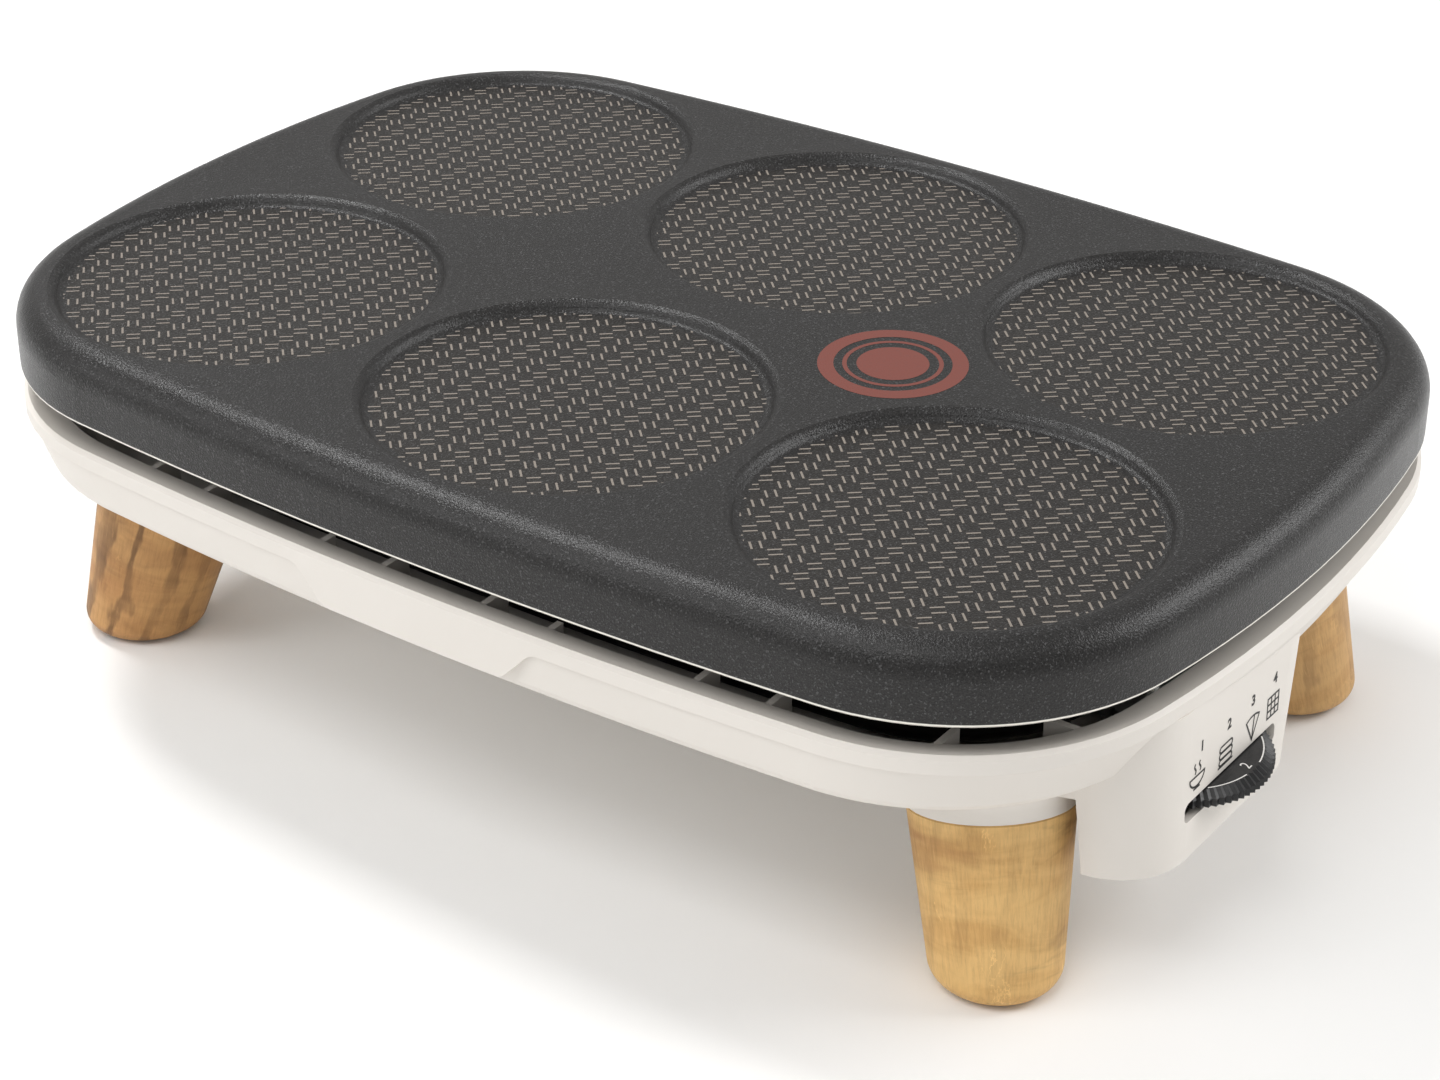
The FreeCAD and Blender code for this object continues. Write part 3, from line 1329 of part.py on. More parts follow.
def leg_washers():
    washers = []
    for sign_x, sign_y in leg_corners():
        low = leg_length + boss_web
        disc = leg_rod(sign_x, sign_y, low, low + leg_washer_thickness, leg_washer_radius)
        bore = leg_rod(sign_x, sign_y, low - 1.0, low + 3.0, leg_screw_radius + insert_fit)
        washers.append(disc.cut(bore))
    return Part.makeCompound(washers)


def leg_screws():
    screws = []
    for sign_x, sign_y in leg_corners():
        seat = leg_length + boss_web + leg_washer_thickness
        head = leg_cone(sign_x, sign_y, seat, seat + leg_screw_head_height, leg_screw_head_radius,
                        leg_screw_head_radius - 0.6)
        shank = leg_rod(sign_x, sign_y, seat - leg_screw_length, seat, leg_screw_radius)
        screws.append(head.fuse(shank).removeSplitter())
    return Part.makeCompound(screws)


os.makedirs("parts", exist_ok=True)
write("griddle_plate", griddle_plate())
write("base_shell", base_shell())
write("reflector_tray", reflector_tray())
write("tray_screws", tray_screws())
write("heating_element", heating_element())
write("element_beads", element_beads())
write("element_terminals", element_terminals())
write("element_brackets", element_brackets())
write("plate_support_posts", plate_support_posts())
write("support_post_caps", support_post_caps())
write("sensor_guide", sensor_guide())
write("sensor_plunger", sensor_plunger())
write("sensor_spring", sensor_spring())
write("capillary_tube", capillary_tube())
write("thermostat_body", thermostat_body())
write("thermostat_bracket", thermostat_bracket())
write("thermostat_screws", thermostat_screws())
write("dial_shaft", dial_shaft())
write("dial_wheel", dial_wheel())
write("thermal_fuse", thermal_fuse())
write("fuse_clip", fuse_clip())
write("terminal_block", terminal_block())
write("thermostat_lead", thermostat_lead())
write("element_lead", element_lead())
write("return_lead", return_lead())
write("earth_lead", earth_lead())
write("earth_tag", earth_tag())
write("cord_gland", cord_gland())
write("control_box_cover", control_box_cover())
write("cover_screws", cover_screws())
write("leg_front_left", leg(-1, -1))
write("leg_front_right", leg(1, -1))
write("leg_rear_left", leg(-1, 1))
write("leg_rear_right", leg(1, 1))
write("foot_pads", foot_pads())
write("leg_inserts", leg_inserts())
write("leg_washers", leg_washers())
write("leg_screws", leg_screws())
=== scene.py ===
import bpy
import math
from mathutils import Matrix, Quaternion, Vector
from mathutils.bvhtree import BVHTree


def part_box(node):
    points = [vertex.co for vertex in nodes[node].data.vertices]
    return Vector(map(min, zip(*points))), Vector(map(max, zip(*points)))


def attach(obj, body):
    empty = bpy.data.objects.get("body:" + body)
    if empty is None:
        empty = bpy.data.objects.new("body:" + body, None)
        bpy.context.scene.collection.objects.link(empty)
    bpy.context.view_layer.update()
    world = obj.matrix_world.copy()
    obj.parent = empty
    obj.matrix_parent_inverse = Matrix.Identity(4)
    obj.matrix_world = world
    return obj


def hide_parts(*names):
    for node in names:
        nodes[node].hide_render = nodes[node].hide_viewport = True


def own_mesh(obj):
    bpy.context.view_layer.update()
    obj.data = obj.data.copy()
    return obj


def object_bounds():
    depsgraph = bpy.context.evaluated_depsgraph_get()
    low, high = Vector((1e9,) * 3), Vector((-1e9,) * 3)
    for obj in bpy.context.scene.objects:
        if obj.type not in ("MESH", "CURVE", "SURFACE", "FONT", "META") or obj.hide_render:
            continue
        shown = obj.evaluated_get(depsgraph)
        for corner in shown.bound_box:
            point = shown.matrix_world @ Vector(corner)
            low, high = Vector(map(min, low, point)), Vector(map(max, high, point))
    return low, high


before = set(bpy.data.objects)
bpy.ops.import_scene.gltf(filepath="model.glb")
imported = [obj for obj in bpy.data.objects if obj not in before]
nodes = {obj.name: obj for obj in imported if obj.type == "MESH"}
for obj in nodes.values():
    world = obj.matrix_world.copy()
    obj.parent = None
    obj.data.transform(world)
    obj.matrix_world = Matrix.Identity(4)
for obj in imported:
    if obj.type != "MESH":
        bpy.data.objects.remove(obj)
cadLow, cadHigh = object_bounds()
scene = bpy.context.scene
print("frame loaded with", len(nodes), "nodes")

# The middle of the plate, from which the camera and the prints are placed
plateLow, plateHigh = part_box("griddle_plate")
plateMiddle = Vector(((plateLow.x + plateHigh.x) / 2, (plateLow.y + plateHigh.y) / 2, 0))
wheelLow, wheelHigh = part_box("dial_wheel")
wheelMiddle = (wheelLow + wheelHigh) / 2


# Camera, lights and floor
cameraView = {
    "azimuth": 35.63,  # degrees round from the front
    "elevation": 29.87,
    "roll": 0.04,
    "distance": 0.90687,
    "aim": (0.08704, -0.11524, 0.1271),  # from the middle of the plate, on the ground
    "lens": 81.087,
    "sensorWidth": 36.0,
    "clipStart": 0.05,
}
studio = {
    "worldColour": (1.0, 0.99, 0.975),
    "worldStrength": 0.50,
    "lights": {
        "top": {"place": (-0.85, 0.1, 1.45), "aim": (0.0, 0.0, 0.1), "size": (0.26, 0.36), "power": 12.0},
        "front": {"place": (0.1, -0.9, 1.5), "aim": (0.0, 0.0, 0.1), "size": (1.0, 0.6), "power": 8.0},
        "left": {"place": (-1.15, -1.35, 1.1), "aim": (0.1, 0.0, 0.05), "size": (0.9, 0.8), "power": 8.5},
        "right": {"place": (1.2, 1.2, 1.15), "aim": (0.1, 0.0, 0.06), "size": (1.0, 0.8), "power": 18.0},
    },
    "floorColour": (0.90, 0.90, 0.895),
    "floorShades": (1.0, 1.02),
    "floorCloudScale": 3.0,
    "floorReach": 4.0,
}


def placeCamera(view):
    azimuth = math.radians(view["azimuth"])
    elevation = math.radians(view["elevation"])
    level = math.cos(elevation)
    back = Vector((math.sin(azimuth) * level, -math.cos(azimuth) * level, math.sin(elevation)))
    data = bpy.data.cameras.new("photoCamera")
    data.lens = view["lens"]
    data.sensor_width = view["sensorWidth"]
    data.clip_start = view["clipStart"]
    camera = bpy.data.objects.new("photoCamera", data)
    scene.collection.objects.link(camera)
    camera.location = plateMiddle + Vector(view["aim"]) + back * view["distance"]
    turn = (-back).to_track_quat("-Z", "Y")
    camera.rotation_euler = (turn @ Quaternion((0, 0, 1), math.radians(view["roll"]))).to_euler()
    scene.camera = camera


def areaLight(name, place, aim, size, power):
    data = bpy.data.lights.new(name, "AREA")
    data.shape = "RECTANGLE"
    data.size, data.size_y = size
    data.energy = power
    light = bpy.data.objects.new(name, data)
    scene.collection.objects.link(light)
    light.location = place
    light.rotation_euler = (Vector(aim) - Vector(place)).to_track_quat("-Z", "Y").to_euler()


placeCamera(cameraView)
for lightName, lightLook in studio["lights"].items():
    areaLight(lightName + "Light", **lightLook)
world = bpy.data.worlds.new("studioWorld")
world.use_nodes = True
world.node_tree.nodes["Background"].inputs["Color"].default_value = (*studio["worldColour"], 1)
world.node_tree.nodes["Background"].inputs["Strength"].default_value = studio["worldStrength"]
scene.world = world
scene.view_settings.view_transform = "Standard"


# Node helpers, for shaders and for Geometry Nodes
noiseSpan = (0.3, 0.7)  # where most values of a noise texture lie
shaderSockets = {
    "colour": "Base Color",
    "roughness": "Roughness",
    "metallic": "Metallic",
    "normal": "Normal",
}


def addNode(tree, kind, inputs=None, **settings):
    made = tree.nodes.new(kind)
    for name, value in settings.items():
        setattr(made, name, value)
    for name, value in (inputs or {}).items():
        if isinstance(value, bpy.types.NodeSocket):
            tree.links.new(value, made.inputs[name])
        else:
            made.inputs[name].default_value = value
    return made


def shaderNode(tree, kind, inputs=None, **settings):
    return addNode(tree, "ShaderNode" + kind, inputs, **settings)


def geometryNode(tree, kind, inputs=None, **settings):
    return addNode(tree, "GeometryNode" + kind, inputs, **settings)


def calculate(tree, operation, first, second=0.0):
    return shaderNode(tree, "Math", {0: first, 1: second}, operation=operation).outputs[0]


def vectorMath(tree, operation, first, second=(0, 0, 0)):
    made = shaderNode(tree, "VectorMath", {0: first, 1: second}, operation=operation)
    return made.outputs["Value" if operation in ("DISTANCE", "DOT_PRODUCT") else "Vector"]


def combine(tree, x=0.0, y=0.0, z=0.0):
    return shaderNode(tree, "CombineXYZ", {0: x, 1: y, 2: z}).outputs[0]


def upward(tree, vector):
    return shaderNode(tree, "SeparateXYZ", {0: vector}).outputs["Z"]


def remap(tree, value, span, newSpan, smooth=False):
    kind = "SMOOTHSTEP" if smooth else "LINEAR"
    inputs = {
        "Value": value,
        "From Min": span[0], "From Max": span[1],
        "To Min": newSpan[0], "To Max": newSpan[1],
    }
    return shaderNode(tree, "MapRange", inputs, interpolation_type=kind).outputs[0]


def mapped(tree, vector, scale=(1, 1, 1), turn=(0, 0, 0), shift=(0, 0, 0)):
    inputs = {"Vector": vector, "Scale": scale, "Rotation": turn, "Location": shift}
    return shaderNode(tree, "Mapping", inputs).outputs[0]


def objectPoint(tree, scale=(1, 1, 1), shift=(0, 0, 0)):
    return mapped(tree, shaderNode(tree, "TexCoord").outputs["Object"], scale=scale, shift=shift)


def noise(tree, point, scale, detail=3.0, roughness=0.5, distortion=0.0):
    inputs = {
        "Vector": point, "Scale": scale, "Detail": detail, "Roughness": roughness, "Distortion": distortion,
    }
    return shaderNode(tree, "TexNoise", inputs).outputs["Fac"]


def bump(tree, height, strength, distance):
    inputs = {"Height": height, "Strength": strength, "Distance": distance}
    return shaderNode(tree, "Bump", inputs).outputs[0]


def colour(rgb, tint=1.0):
    return (*(min(1.0, channel * tint) for channel in rgb), 1.0)


def mixColour(tree, factor, first, second):
    return shaderNode(tree, "Mix", {0: factor, 6: first, 7: second}, data_type="RGBA").outputs[2]


def twoShades(tree, factor, base, shades):
    # One colour in two shades, mixed by the factor
    return mixColour(tree, factor, colour(base, shades[0]), colour(base, shades[1]))


def newMaterial(name, roughness=0.5, metallic=0.0, specular=0.5):
    material = bpy.data.materials.new(name)
    material.use_nodes = True
    tree = material.node_tree
    shader = tree.nodes["Principled BSDF"]
    shader.inputs["Roughness"].default_value = roughness
    shader.inputs["Metallic"].default_value = metallic
    shader.inputs["Specular IOR Level"].default_value = specular
    return material, tree, shader


def feed(tree, shader, **values):
    for name, value in values.items():
        tree.links.new(value, shader.inputs[shaderSockets[name]])


# Floor
def makeFloor():
    material, tree, shader = newMaterial("paleFloor", roughness=0.9, specular=0.2)
    cloud = noise(tree, objectPoint(tree), studio["floorCloudScale"])
    feed(tree, shader, colour=twoShades(tree, cloud, studio["floorColour"], studio["floorShades"]))
    reach = studio["floorReach"]
    corners = [(-reach, -reach, 0), (reach, -reach, 0), (reach, reach, 0), (-reach, reach, 0)]
    mesh = bpy.data.meshes.new("studioFloor")
    mesh.from_pydata(corners, [], [(0, 1, 2, 3)])
    mesh.materials.append(material)
    floor = bpy.data.objects.new("studioFloor", mesh)
    scene.collection.objects.link(floor)


makeFloor()
print("camera, lights and floor are set")


# Griddle plate coating
hollows = {
    "radius": 0.060,
    "depth": 0.0032,
    "pitchX": 0.13384,
    "pitchEnds": 0.1361,
    "pitchMiddle": 0.14594,
}
coating = {
    "dark": (0.006, 0.0058, 0.0058),
    "pale": (0.029, 0.0275, 0.027),
    "floorDark": (0.008, 0.007, 0.0065),
    "floorPale": (0.030, 0.027, 0.0245),
    "floorStarts": (0.0016, 0.0002),  # inside a hollow's rim, where its floor's own tone fades in
    "grainSize": 0.0005,
    "grainNoise": (2.0, 0.6),  # detail and roughness
    "grainRange": (0.32, 0.68),
    "speck": (0.12, 0.12, 0.122),
    "speckSize": 0.0007,
    "speckNoise": (1.0, 0.5),
    "speckRange": (0.62, 0.70),
    "speckAmount": 0.5,
    "speckHeight": 0.9,  # beside the grain
    "cloudScale": 18.0,
    "bareEdge": (0.90, 0.87, 0.80),
    "bareEdgeHeight": 0.0011,
    "bareEdgeFade": 1.25,
    "underside": (0.42, 0.41, 0.40),
    "undersideShades": (1.0, 0.8),
    "undersideFacing": (-0.5, -0.2),
    "bareMetallic": 0.5,
    "roughness": (0.27, 0.32),
    "bumpStrength": 0.85,
    "bumpHeight": 0.00019,
}


def hollowDistance(tree, point, ends, middle):
    # Distance from the nearest hollow's middle, by folding the plan into one quarter
    flat = vectorMath(tree, "MULTIPLY", vectorMath(tree, "ABSOLUTE", point), (1, 1, 0))
    toEnds = vectorMath(tree, "DISTANCE", flat, ends)
    toMiddle = vectorMath(tree, "DISTANCE", flat, middle)
    return calculate(tree, "MINIMUM", toEnds, toMiddle)


def plateMaterial():
    material, tree, shader = newMaterial("nonStickCoating", roughness=0.42, specular=0.32)
    point = objectPoint(tree, shift=-plateMiddle)
    fine = noise(tree, point, 1 / coating["grainSize"], *coating["grainNoise"])
    coarse = noise(tree, point, 1 / coating["speckSize"], *coating["speckNoise"])
    cloud = noise(tree, point, coating["cloudScale"])
    ends = (hollows["pitchX"], hollows["pitchEnds"] / 2, 0)
    fromMiddle = hollowDistance(tree, point, ends, (0, hollows["pitchMiddle"] / 2, 0))
    fade = [hollows["radius"] - inside for inside in coating["floorStarts"]]
    inHollow = remap(tree, fromMiddle, fade, (1, 0), True)
    spread = remap(tree, fine, coating["grainRange"], (0, 1))
    skin = mixColour(tree, spread, colour(coating["dark"]), colour(coating["pale"]))
    floorSkin = mixColour(tree, spread, colour(coating["floorDark"]), colour(coating["floorPale"]))
    skin = mixColour(tree, inHollow, skin, floorSkin)
    specks = remap(tree, coarse, coating["speckRange"], (0, 1))
    specks = calculate(tree, "MULTIPLY", specks, coating["speckAmount"])
    skin = mixColour(tree, specks, skin, colour(coating["speck"]))
    # Bare casting under the plate, and a bare machined edge along the bottom of the skirt
    normal = shaderNode(tree, "NewGeometry").outputs["Normal"]
    under = remap(tree, upward(tree, normal), coating["undersideFacing"], (1, 0))
    casting = twoShades(tree, cloud, coating["underside"], coating["undersideShades"])
    skin = mixColour(tree, under, skin, casting)
    edgeTop = [plateLow.z + coating["bareEdgeHeight"] * share for share in (1.0, coating["bareEdgeFade"])]
    edge = remap(tree, upward(tree, point), edgeTop, (1, 0))
    skin = mixColour(tree, edge, skin, colour(coating["bareEdge"]))
    bare = calculate(tree, "MAXIMUM", edge, under)
    metallic = calculate(tree, "MULTIPLY", bare, coating["bareMetallic"])
    rough = remap(tree, cloud, noiseSpan, coating["roughness"])
    grain = calculate(tree, "ADD", fine, calculate(tree, "MULTIPLY", coarse, coating["speckHeight"]))
    relief = bump(tree, grain, coating["bumpStrength"], coating["bumpHeight"])
    feed(tree, shader, colour=skin, roughness=rough, metallic=metallic, normal=relief)
    return material


# Moulded shell
shellPaint = {
    "light": (0.79, 0.750, 0.700),
    "shade": (0.745, 0.705, 0.655),
    "cloudScale": 9.0,
    "grainSize": 0.0007,
    "roughness": (0.38, 0.48),
    "bumpStrength": 0.12,
    "bumpHeight": 0.00008,
}


def shellMaterial():
    material, tree, shader = newMaterial("warmWhiteShell", roughness=0.42, specular=0.45)
    point = objectPoint(tree)
    cloud = noise(tree, point, shellPaint["cloudScale"])
    grain = noise(tree, point, 1 / shellPaint["grainSize"], detail=2.0)
    paint = mixColour(tree, cloud, colour(shellPaint["light"]), colour(shellPaint["shade"]))
    feed(tree, shader, colour=paint, roughness=remap(tree, cloud, noiseSpan, shellPaint["roughness"]))
    feed(tree, shader, normal=bump(tree, grain, shellPaint["bumpStrength"], shellPaint["bumpHeight"]))
    return material


# Wooden legs. A noise is given by its detail, roughness and distortion
wood = {
    "splay": 16.1,  # degrees that a leg leans outwards, towards its corner
    "dark": (0.155, 0.078, 0.032),
    "russet": (0.34, 0.135, 0.045),
    "seedShift": (0.37, 0.53, 0),  # gives each leg a grain of its own
    "acrossScale": (0.45, 0.45, 1.6),  # draws the wide marks across the leg
    "acrossTurn": (0.12, -0.2, 0),
    "leaningScale": (1.3, 1.3, 0.45),  # draws the swirls and veins along it, on a slant
    "leaningTurn": (0.5, 0.45, 0),
    "marks": {
        "bands": {"size": 0.016, "noise": (4.0, 0.55, 0.6), "range": (0.36, 0.66)},
        "russet": {"size": 0.0425, "noise": (3.0, 0.5, 0.8), "range": (0.55, 0.72)},
        "smudges": {"size": 0.034, "noise": (4.0, 0.6, 1.0), "range": (0.52, 0.68)},
    },
    "ringSize": 0.013,
    "ringWave": {"Distortion": 8.0, "Detail": 4.0, "Detail Scale": 1.6, "Detail Roughness": 0.6},
    "ringRange": (0.05, 0.50),
    "waveLength": 0.314,  # between two bands of a wave texture of scale 1
    "patchScale": 45.0,
    "patchRange": (0.40, 0.60),
    "patchAmounts": (0.35, 1.0),
    "grainSize": 0.0009,
    "grainNoise": (5.0, 0.75, 0.3),
    "grainStretch": 0.022,
    "darkLineRange": (0.30, 0.52),
    "darkLines": 0.26,
    "paleLineRange": (0.55, 0.75),
    "paleLines": 0.35,
    "paleLineTint": 1.2,
    "veinSize": 0.030,
    "veinNoise": (6.0, 0.62, 0.8),
    "veinLevel": 0.55,
    "veinWidths": (0.002, 0.007),
    "veinPatchScale": 60.0,
    "veinPatchRange": (0.5, 0.6),
    "veinTint": 1.35,
    "roughness": (0.58, 0.46),
    "bumpStrength": 0.2,
    "bumpHeight": 0.00012,
}
legLooksWithPaintedLight = {
    # The front right leg's pale and honey tones are lifted as painted light, for the light that falls on it
    "leg_front_right": {
        "sign": (1, -1), "seed": 2.0, "pale": (0.76, 0.49, 0.195), "honey": (0.60, 0.345, 0.120),
        "bands": 0.85, "smudges": 0.6, "swirls": 0.15, "veins": 0.55, "russet": 0.5,
    },
    # The front left leg's pale and honey tones are lowered as painted shade, for the shade under the base
    "leg_front_left": {
        "sign": (-1, -1), "seed": 1.0, "pale": (0.56, 0.31, 0.120), "honey": (0.38, 0.185, 0.066),
        "bands": 0.7, "smudges": 0.3, "swirls": 0.85, "veins": 0.25, "russet": 0.3,
    },
    "leg_rear_right": {
        "sign": (1, 1), "seed": 4.0, "pale": (0.62, 0.38, 0.16), "honey": (0.48, 0.26, 0.09),
        "bands": 0.5, "smudges": 0.25, "swirls": 0.35, "veins": 0.3, "russet": 0.3,
    },
    "leg_rear_left": {
        "sign": (-1, 1), "seed": 3.0, "pale": (0.60, 0.36, 0.145), "honey": (0.44, 0.23, 0.08),
        "bands": 0.5, "smudges": 0.35, "swirls": 0.5, "veins": 0.3, "russet": 0.3,
    },
}


def legAxes(signX, signY):
    # Two directions across the leg and the one along it
    lean = math.radians(wood["splay"])
    outward = math.sin(lean) / math.sqrt(2)
    axis = Vector((-signX * outward, -signY * outward, math.cos(lean)))
    side = axis.cross(Vector((0, 1, 0))).normalized()
    return side, axis.cross(side), axis


def woodMaterial(name, look):
    material, tree, shader = newMaterial(name, roughness=0.5, specular=0.3)
    point = objectPoint(tree, shift=Vector(wood["seedShift"]) * look["seed"])
    parts = [vectorMath(tree, "DOT_PRODUCT", point, direction) for direction in legAxes(*look["sign"])]
    along = combine(tree, *parts)
    fibres = mapped(tree, along, scale=(1, 1, wood["grainStretch"]))
    across = mapped(tree, along, scale=wood["acrossScale"], turn=wood["acrossTurn"])
    leaning = mapped(tree, along, scale=wood["leaningScale"], turn=wood["leaningTurn"])
    # Tones in wide bands, with soft smudges across and darker swirls; the starting tone holds painted light
    # on the front right leg and painted shade on the front left leg
    tone = colour(look["pale"])
    for mark, stain in (("bands", look["honey"]), ("russet", wood["russet"]), ("smudges", wood["dark"])):
        shape = wood["marks"][mark]
        cover = noise(tree, across, 1 / shape["size"], *shape["noise"])
        cover = remap(tree, cover, shape["range"], (0, look[mark]), True)
        tone = mixColour(tree, cover, tone, colour(stain))
    waveInputs = {"Vector": leaning, "Scale": wood["waveLength"] / wood["ringSize"], **wood["ringWave"]}
    rings = shaderNode(tree, "TexWave", waveInputs, wave_type="BANDS", bands_direction="X").outputs["Fac"]
    patches = remap(tree, noise(tree, along, wood["patchScale"]), wood["patchRange"], wood["patchAmounts"])
    swirl = remap(tree, rings, wood["ringRange"], (look["swirls"], 0), True)
    tone = mixColour(tree, calculate(tree, "MULTIPLY", swirl, patches), tone, colour(wood["dark"]))
    # Fine straight grain and a few pale veins
    lines = noise(tree, fibres, 1 / wood["grainSize"], *wood["grainNoise"])
    darkLines = remap(tree, lines, wood["darkLineRange"], (wood["darkLines"], 0))
    tone = mixColour(tree, darkLines, tone, colour(wood["dark"]))
    paleLines = remap(tree, lines, wood["paleLineRange"], (0, wood["paleLines"]))
    tone = mixColour(tree, paleLines, tone, colour(look["pale"], wood["paleLineTint"]))
    contour = noise(tree, leaning, 1 / wood["veinSize"], *wood["veinNoise"])
    contour = calculate(tree, "ABSOLUTE", calculate(tree, "SUBTRACT", contour, wood["veinLevel"]))
    veinPatches = noise(tree, along, wood["veinPatchScale"], detail=2.0)
    veinPatches = remap(tree, veinPatches, wood["veinPatchRange"], (0, look["veins"]))
    veins = calculate(tree, "MULTIPLY", remap(tree, contour, wood["veinWidths"], (1, 0)), veinPatches)
    tone = mixColour(tree, veins, tone, colour(look["pale"], wood["veinTint"]))
    feed(tree, shader, colour=tone, roughness=remap(tree, lines, noiseSpan, wood["roughness"]))
    feed(tree, shader, normal=bump(tree, lines, wood["bumpStrength"], wood["bumpHeight"]))
    return material


# Metals, plastics and rubber of the inner pieces
metal = {
    "stretch": (60, 60, 600),  # draws the streaks out in level lines
    "streakNoise": (6.0, 3.0, 0.6),  # scale, detail and roughness
    "cloudNoise": (25.0, 4.0, 0.6),
    "shades": (0.88, 1.08),
    "stainColour": (0.1, 0.09, 0.08),
    "stainRange": (0.4, 0.7),
    "roughnessSpread": (-0.06, 0.1),
    "bumpStrength": 0.08,
    "bumpHeight": 0.0001,
}
plastic = {
    "grainSize": 0.0006,
    "cloudScale": 40.0,
    "shades": (0.9, 1.1),
    "roughnessSpread": (-0.05, 0.08),
    "bumpHeight": 0.0001,
}


def sheetMetal(
    name, base, roughness=0.35, stretch=metal["stretch"], stain=0.0, stainColour=metal["stainColour"],
):
    material, tree, shader = newMaterial(name, roughness=roughness, metallic=0.9)
    streaks = noise(tree, objectPoint(tree, scale=stretch), *metal["streakNoise"])
    cloud = noise(tree, objectPoint(tree), *metal["cloudNoise"])
    tone = twoShades(tree, streaks, base, metal["shades"])
    tone = mixColour(tree, remap(tree, cloud, metal["stainRange"], (0, stain)), tone, colour(stainColour))
    spread = [roughness + change for change in metal["roughnessSpread"]]
    feed(tree, shader, colour=tone, roughness=remap(tree, cloud, noiseSpan, spread))
    feed(tree, shader, normal=bump(tree, streaks, metal["bumpStrength"], metal["bumpHeight"]))
    return material


def moulded(name, base, roughness=0.5, bumpStrength=0.15):
    material, tree, shader = newMaterial(name, roughness=roughness, specular=0.4)
    point = objectPoint(tree)
    grain = noise(tree, point, 1 / plastic["grainSize"], detail=2.0)
    tone = twoShades(tree, noise(tree, point, plastic["cloudScale"]), base, plastic["shades"])
    spread = [roughness + change for change in plastic["roughnessSpread"]]
    feed(tree, shader, colour=tone, roughness=remap(tree, grain, noiseSpan, spread))
    feed(tree, shader, normal=bump(tree, grain, bumpStrength, plastic["bumpHeight"]))
    return material


plateSkin = plateMaterial()
shellSkin = shellMaterial()
# Steel of the tray and brackets: a real heat stain, darkened further as painted shade that stands for the
# shade in the gap under the plate
paintedShadeSteel = sheetMetal(
    "heatStainedAndShadeDarkSteel", (0.035, 0.031, 0.028), roughness=0.5, stain=0.7, stainColour=(0.02, 0.017, 0.015),
)
zincSteel = sheetMetal("zincPlatedSteel", (0.62, 0.62, 0.61), roughness=0.3)
elementSkin = sheetMetal(
    "heatingTubeSheath", (0.16, 0.145, 0.135), roughness=0.45, stain=0.6, stainColour=(0.07, 0.045, 0.035),
)
castSkin = sheetMetal("castAluminium", (0.58, 0.58, 0.58), stretch=(300, 300, 300), roughness=0.42)
brassSkin = sheetMetal("brass", (0.75, 0.56, 0.25), roughness=0.28)
copperSkin = sheetMetal("drawnCopper", (0.80, 0.43, 0.27), roughness=0.28)
springSkin = sheetMetal("springWire", (0.5, 0.5, 0.5), roughness=0.25)
ceramicSkin = moulded("unglazedCeramic", (0.80, 0.77, 0.70), roughness=0.7, bumpStrength=0.3)
blackPlastic = moulded("blackMouldedPlastic", (0.010, 0.010, 0.011), roughness=0.38, bumpStrength=0.12)
darkPlastic = moulded("darkMouldedPlastic", (0.06, 0.06, 0.062), roughness=0.5)
siliconeSkin = moulded("siliconeCap", (0.05, 0.05, 0.052), roughness=0.65)
padRubber = moulded("padRubber", (0.09, 0.085, 0.08), roughness=0.8, bumpStrength=0.3)
sleeveSkin = moulded("leadSleeve", (0.72, 0.69, 0.62), roughness=0.6)
earthSleeve = moulded("earthLeadSleeve", (0.25, 0.42, 0.06), roughness=0.55)
glandSkin = moulded("glandPlastic", (0.76, 0.73, 0.68), roughness=0.5)

finishes = {
    "griddle_plate": plateSkin,
    "base_shell": shellSkin,
    "control_box_cover": shellSkin,
    "reflector_tray": paintedShadeSteel,
    "element_brackets": paintedShadeSteel,
    "tray_screws": zincSteel,
    "heating_element": elementSkin,
    "element_beads": ceramicSkin,
    "element_terminals": brassSkin,
    "plate_support_posts": castSkin,
    "support_post_caps": siliconeSkin,
    "sensor_guide": zincSteel,
    "sensor_plunger": castSkin,
    "sensor_spring": springSkin,
    "capillary_tube": copperSkin,
    "thermostat_body": darkPlastic,
    "thermostat_bracket": zincSteel,
    "thermostat_screws": zincSteel,
    "dial_shaft": zincSteel,
    "dial_wheel": blackPlastic,
    "thermal_fuse": ceramicSkin,
    "fuse_clip": zincSteel,
    "terminal_block": darkPlastic,
    "thermostat_lead": sleeveSkin,
    "element_lead": sleeveSkin,
    "return_lead": sleeveSkin,
    "earth_lead": earthSleeve,
    "earth_tag": brassSkin,
    "cord_gland": glandSkin,
    "cover_screws": zincSteel,
    "foot_pads": padRubber,
    "leg_inserts": brassSkin,
    "leg_washers": zincSteel,
    "leg_screws": zincSteel,
}
for legName, legLook in legLooksWithPaintedLight.items():
    finishes[legName] = woodMaterial(legName.replace("leg", "wood"), legLook)
for nodeName, finish in finishes.items():
    for materialSlot in nodes[nodeName].material_slots:
        materialSlot.material = finish
print("finishes given to", len(finishes), "nodes")


# Prints: shared helpers
inks = {
    "grainScale": 1800.0,
    "shades": (0.92, 1.08),
    "wearScale": 900.0,
    "wearRange": (0.55, 0.75),
    "bumpHeight": 0.0001,
}


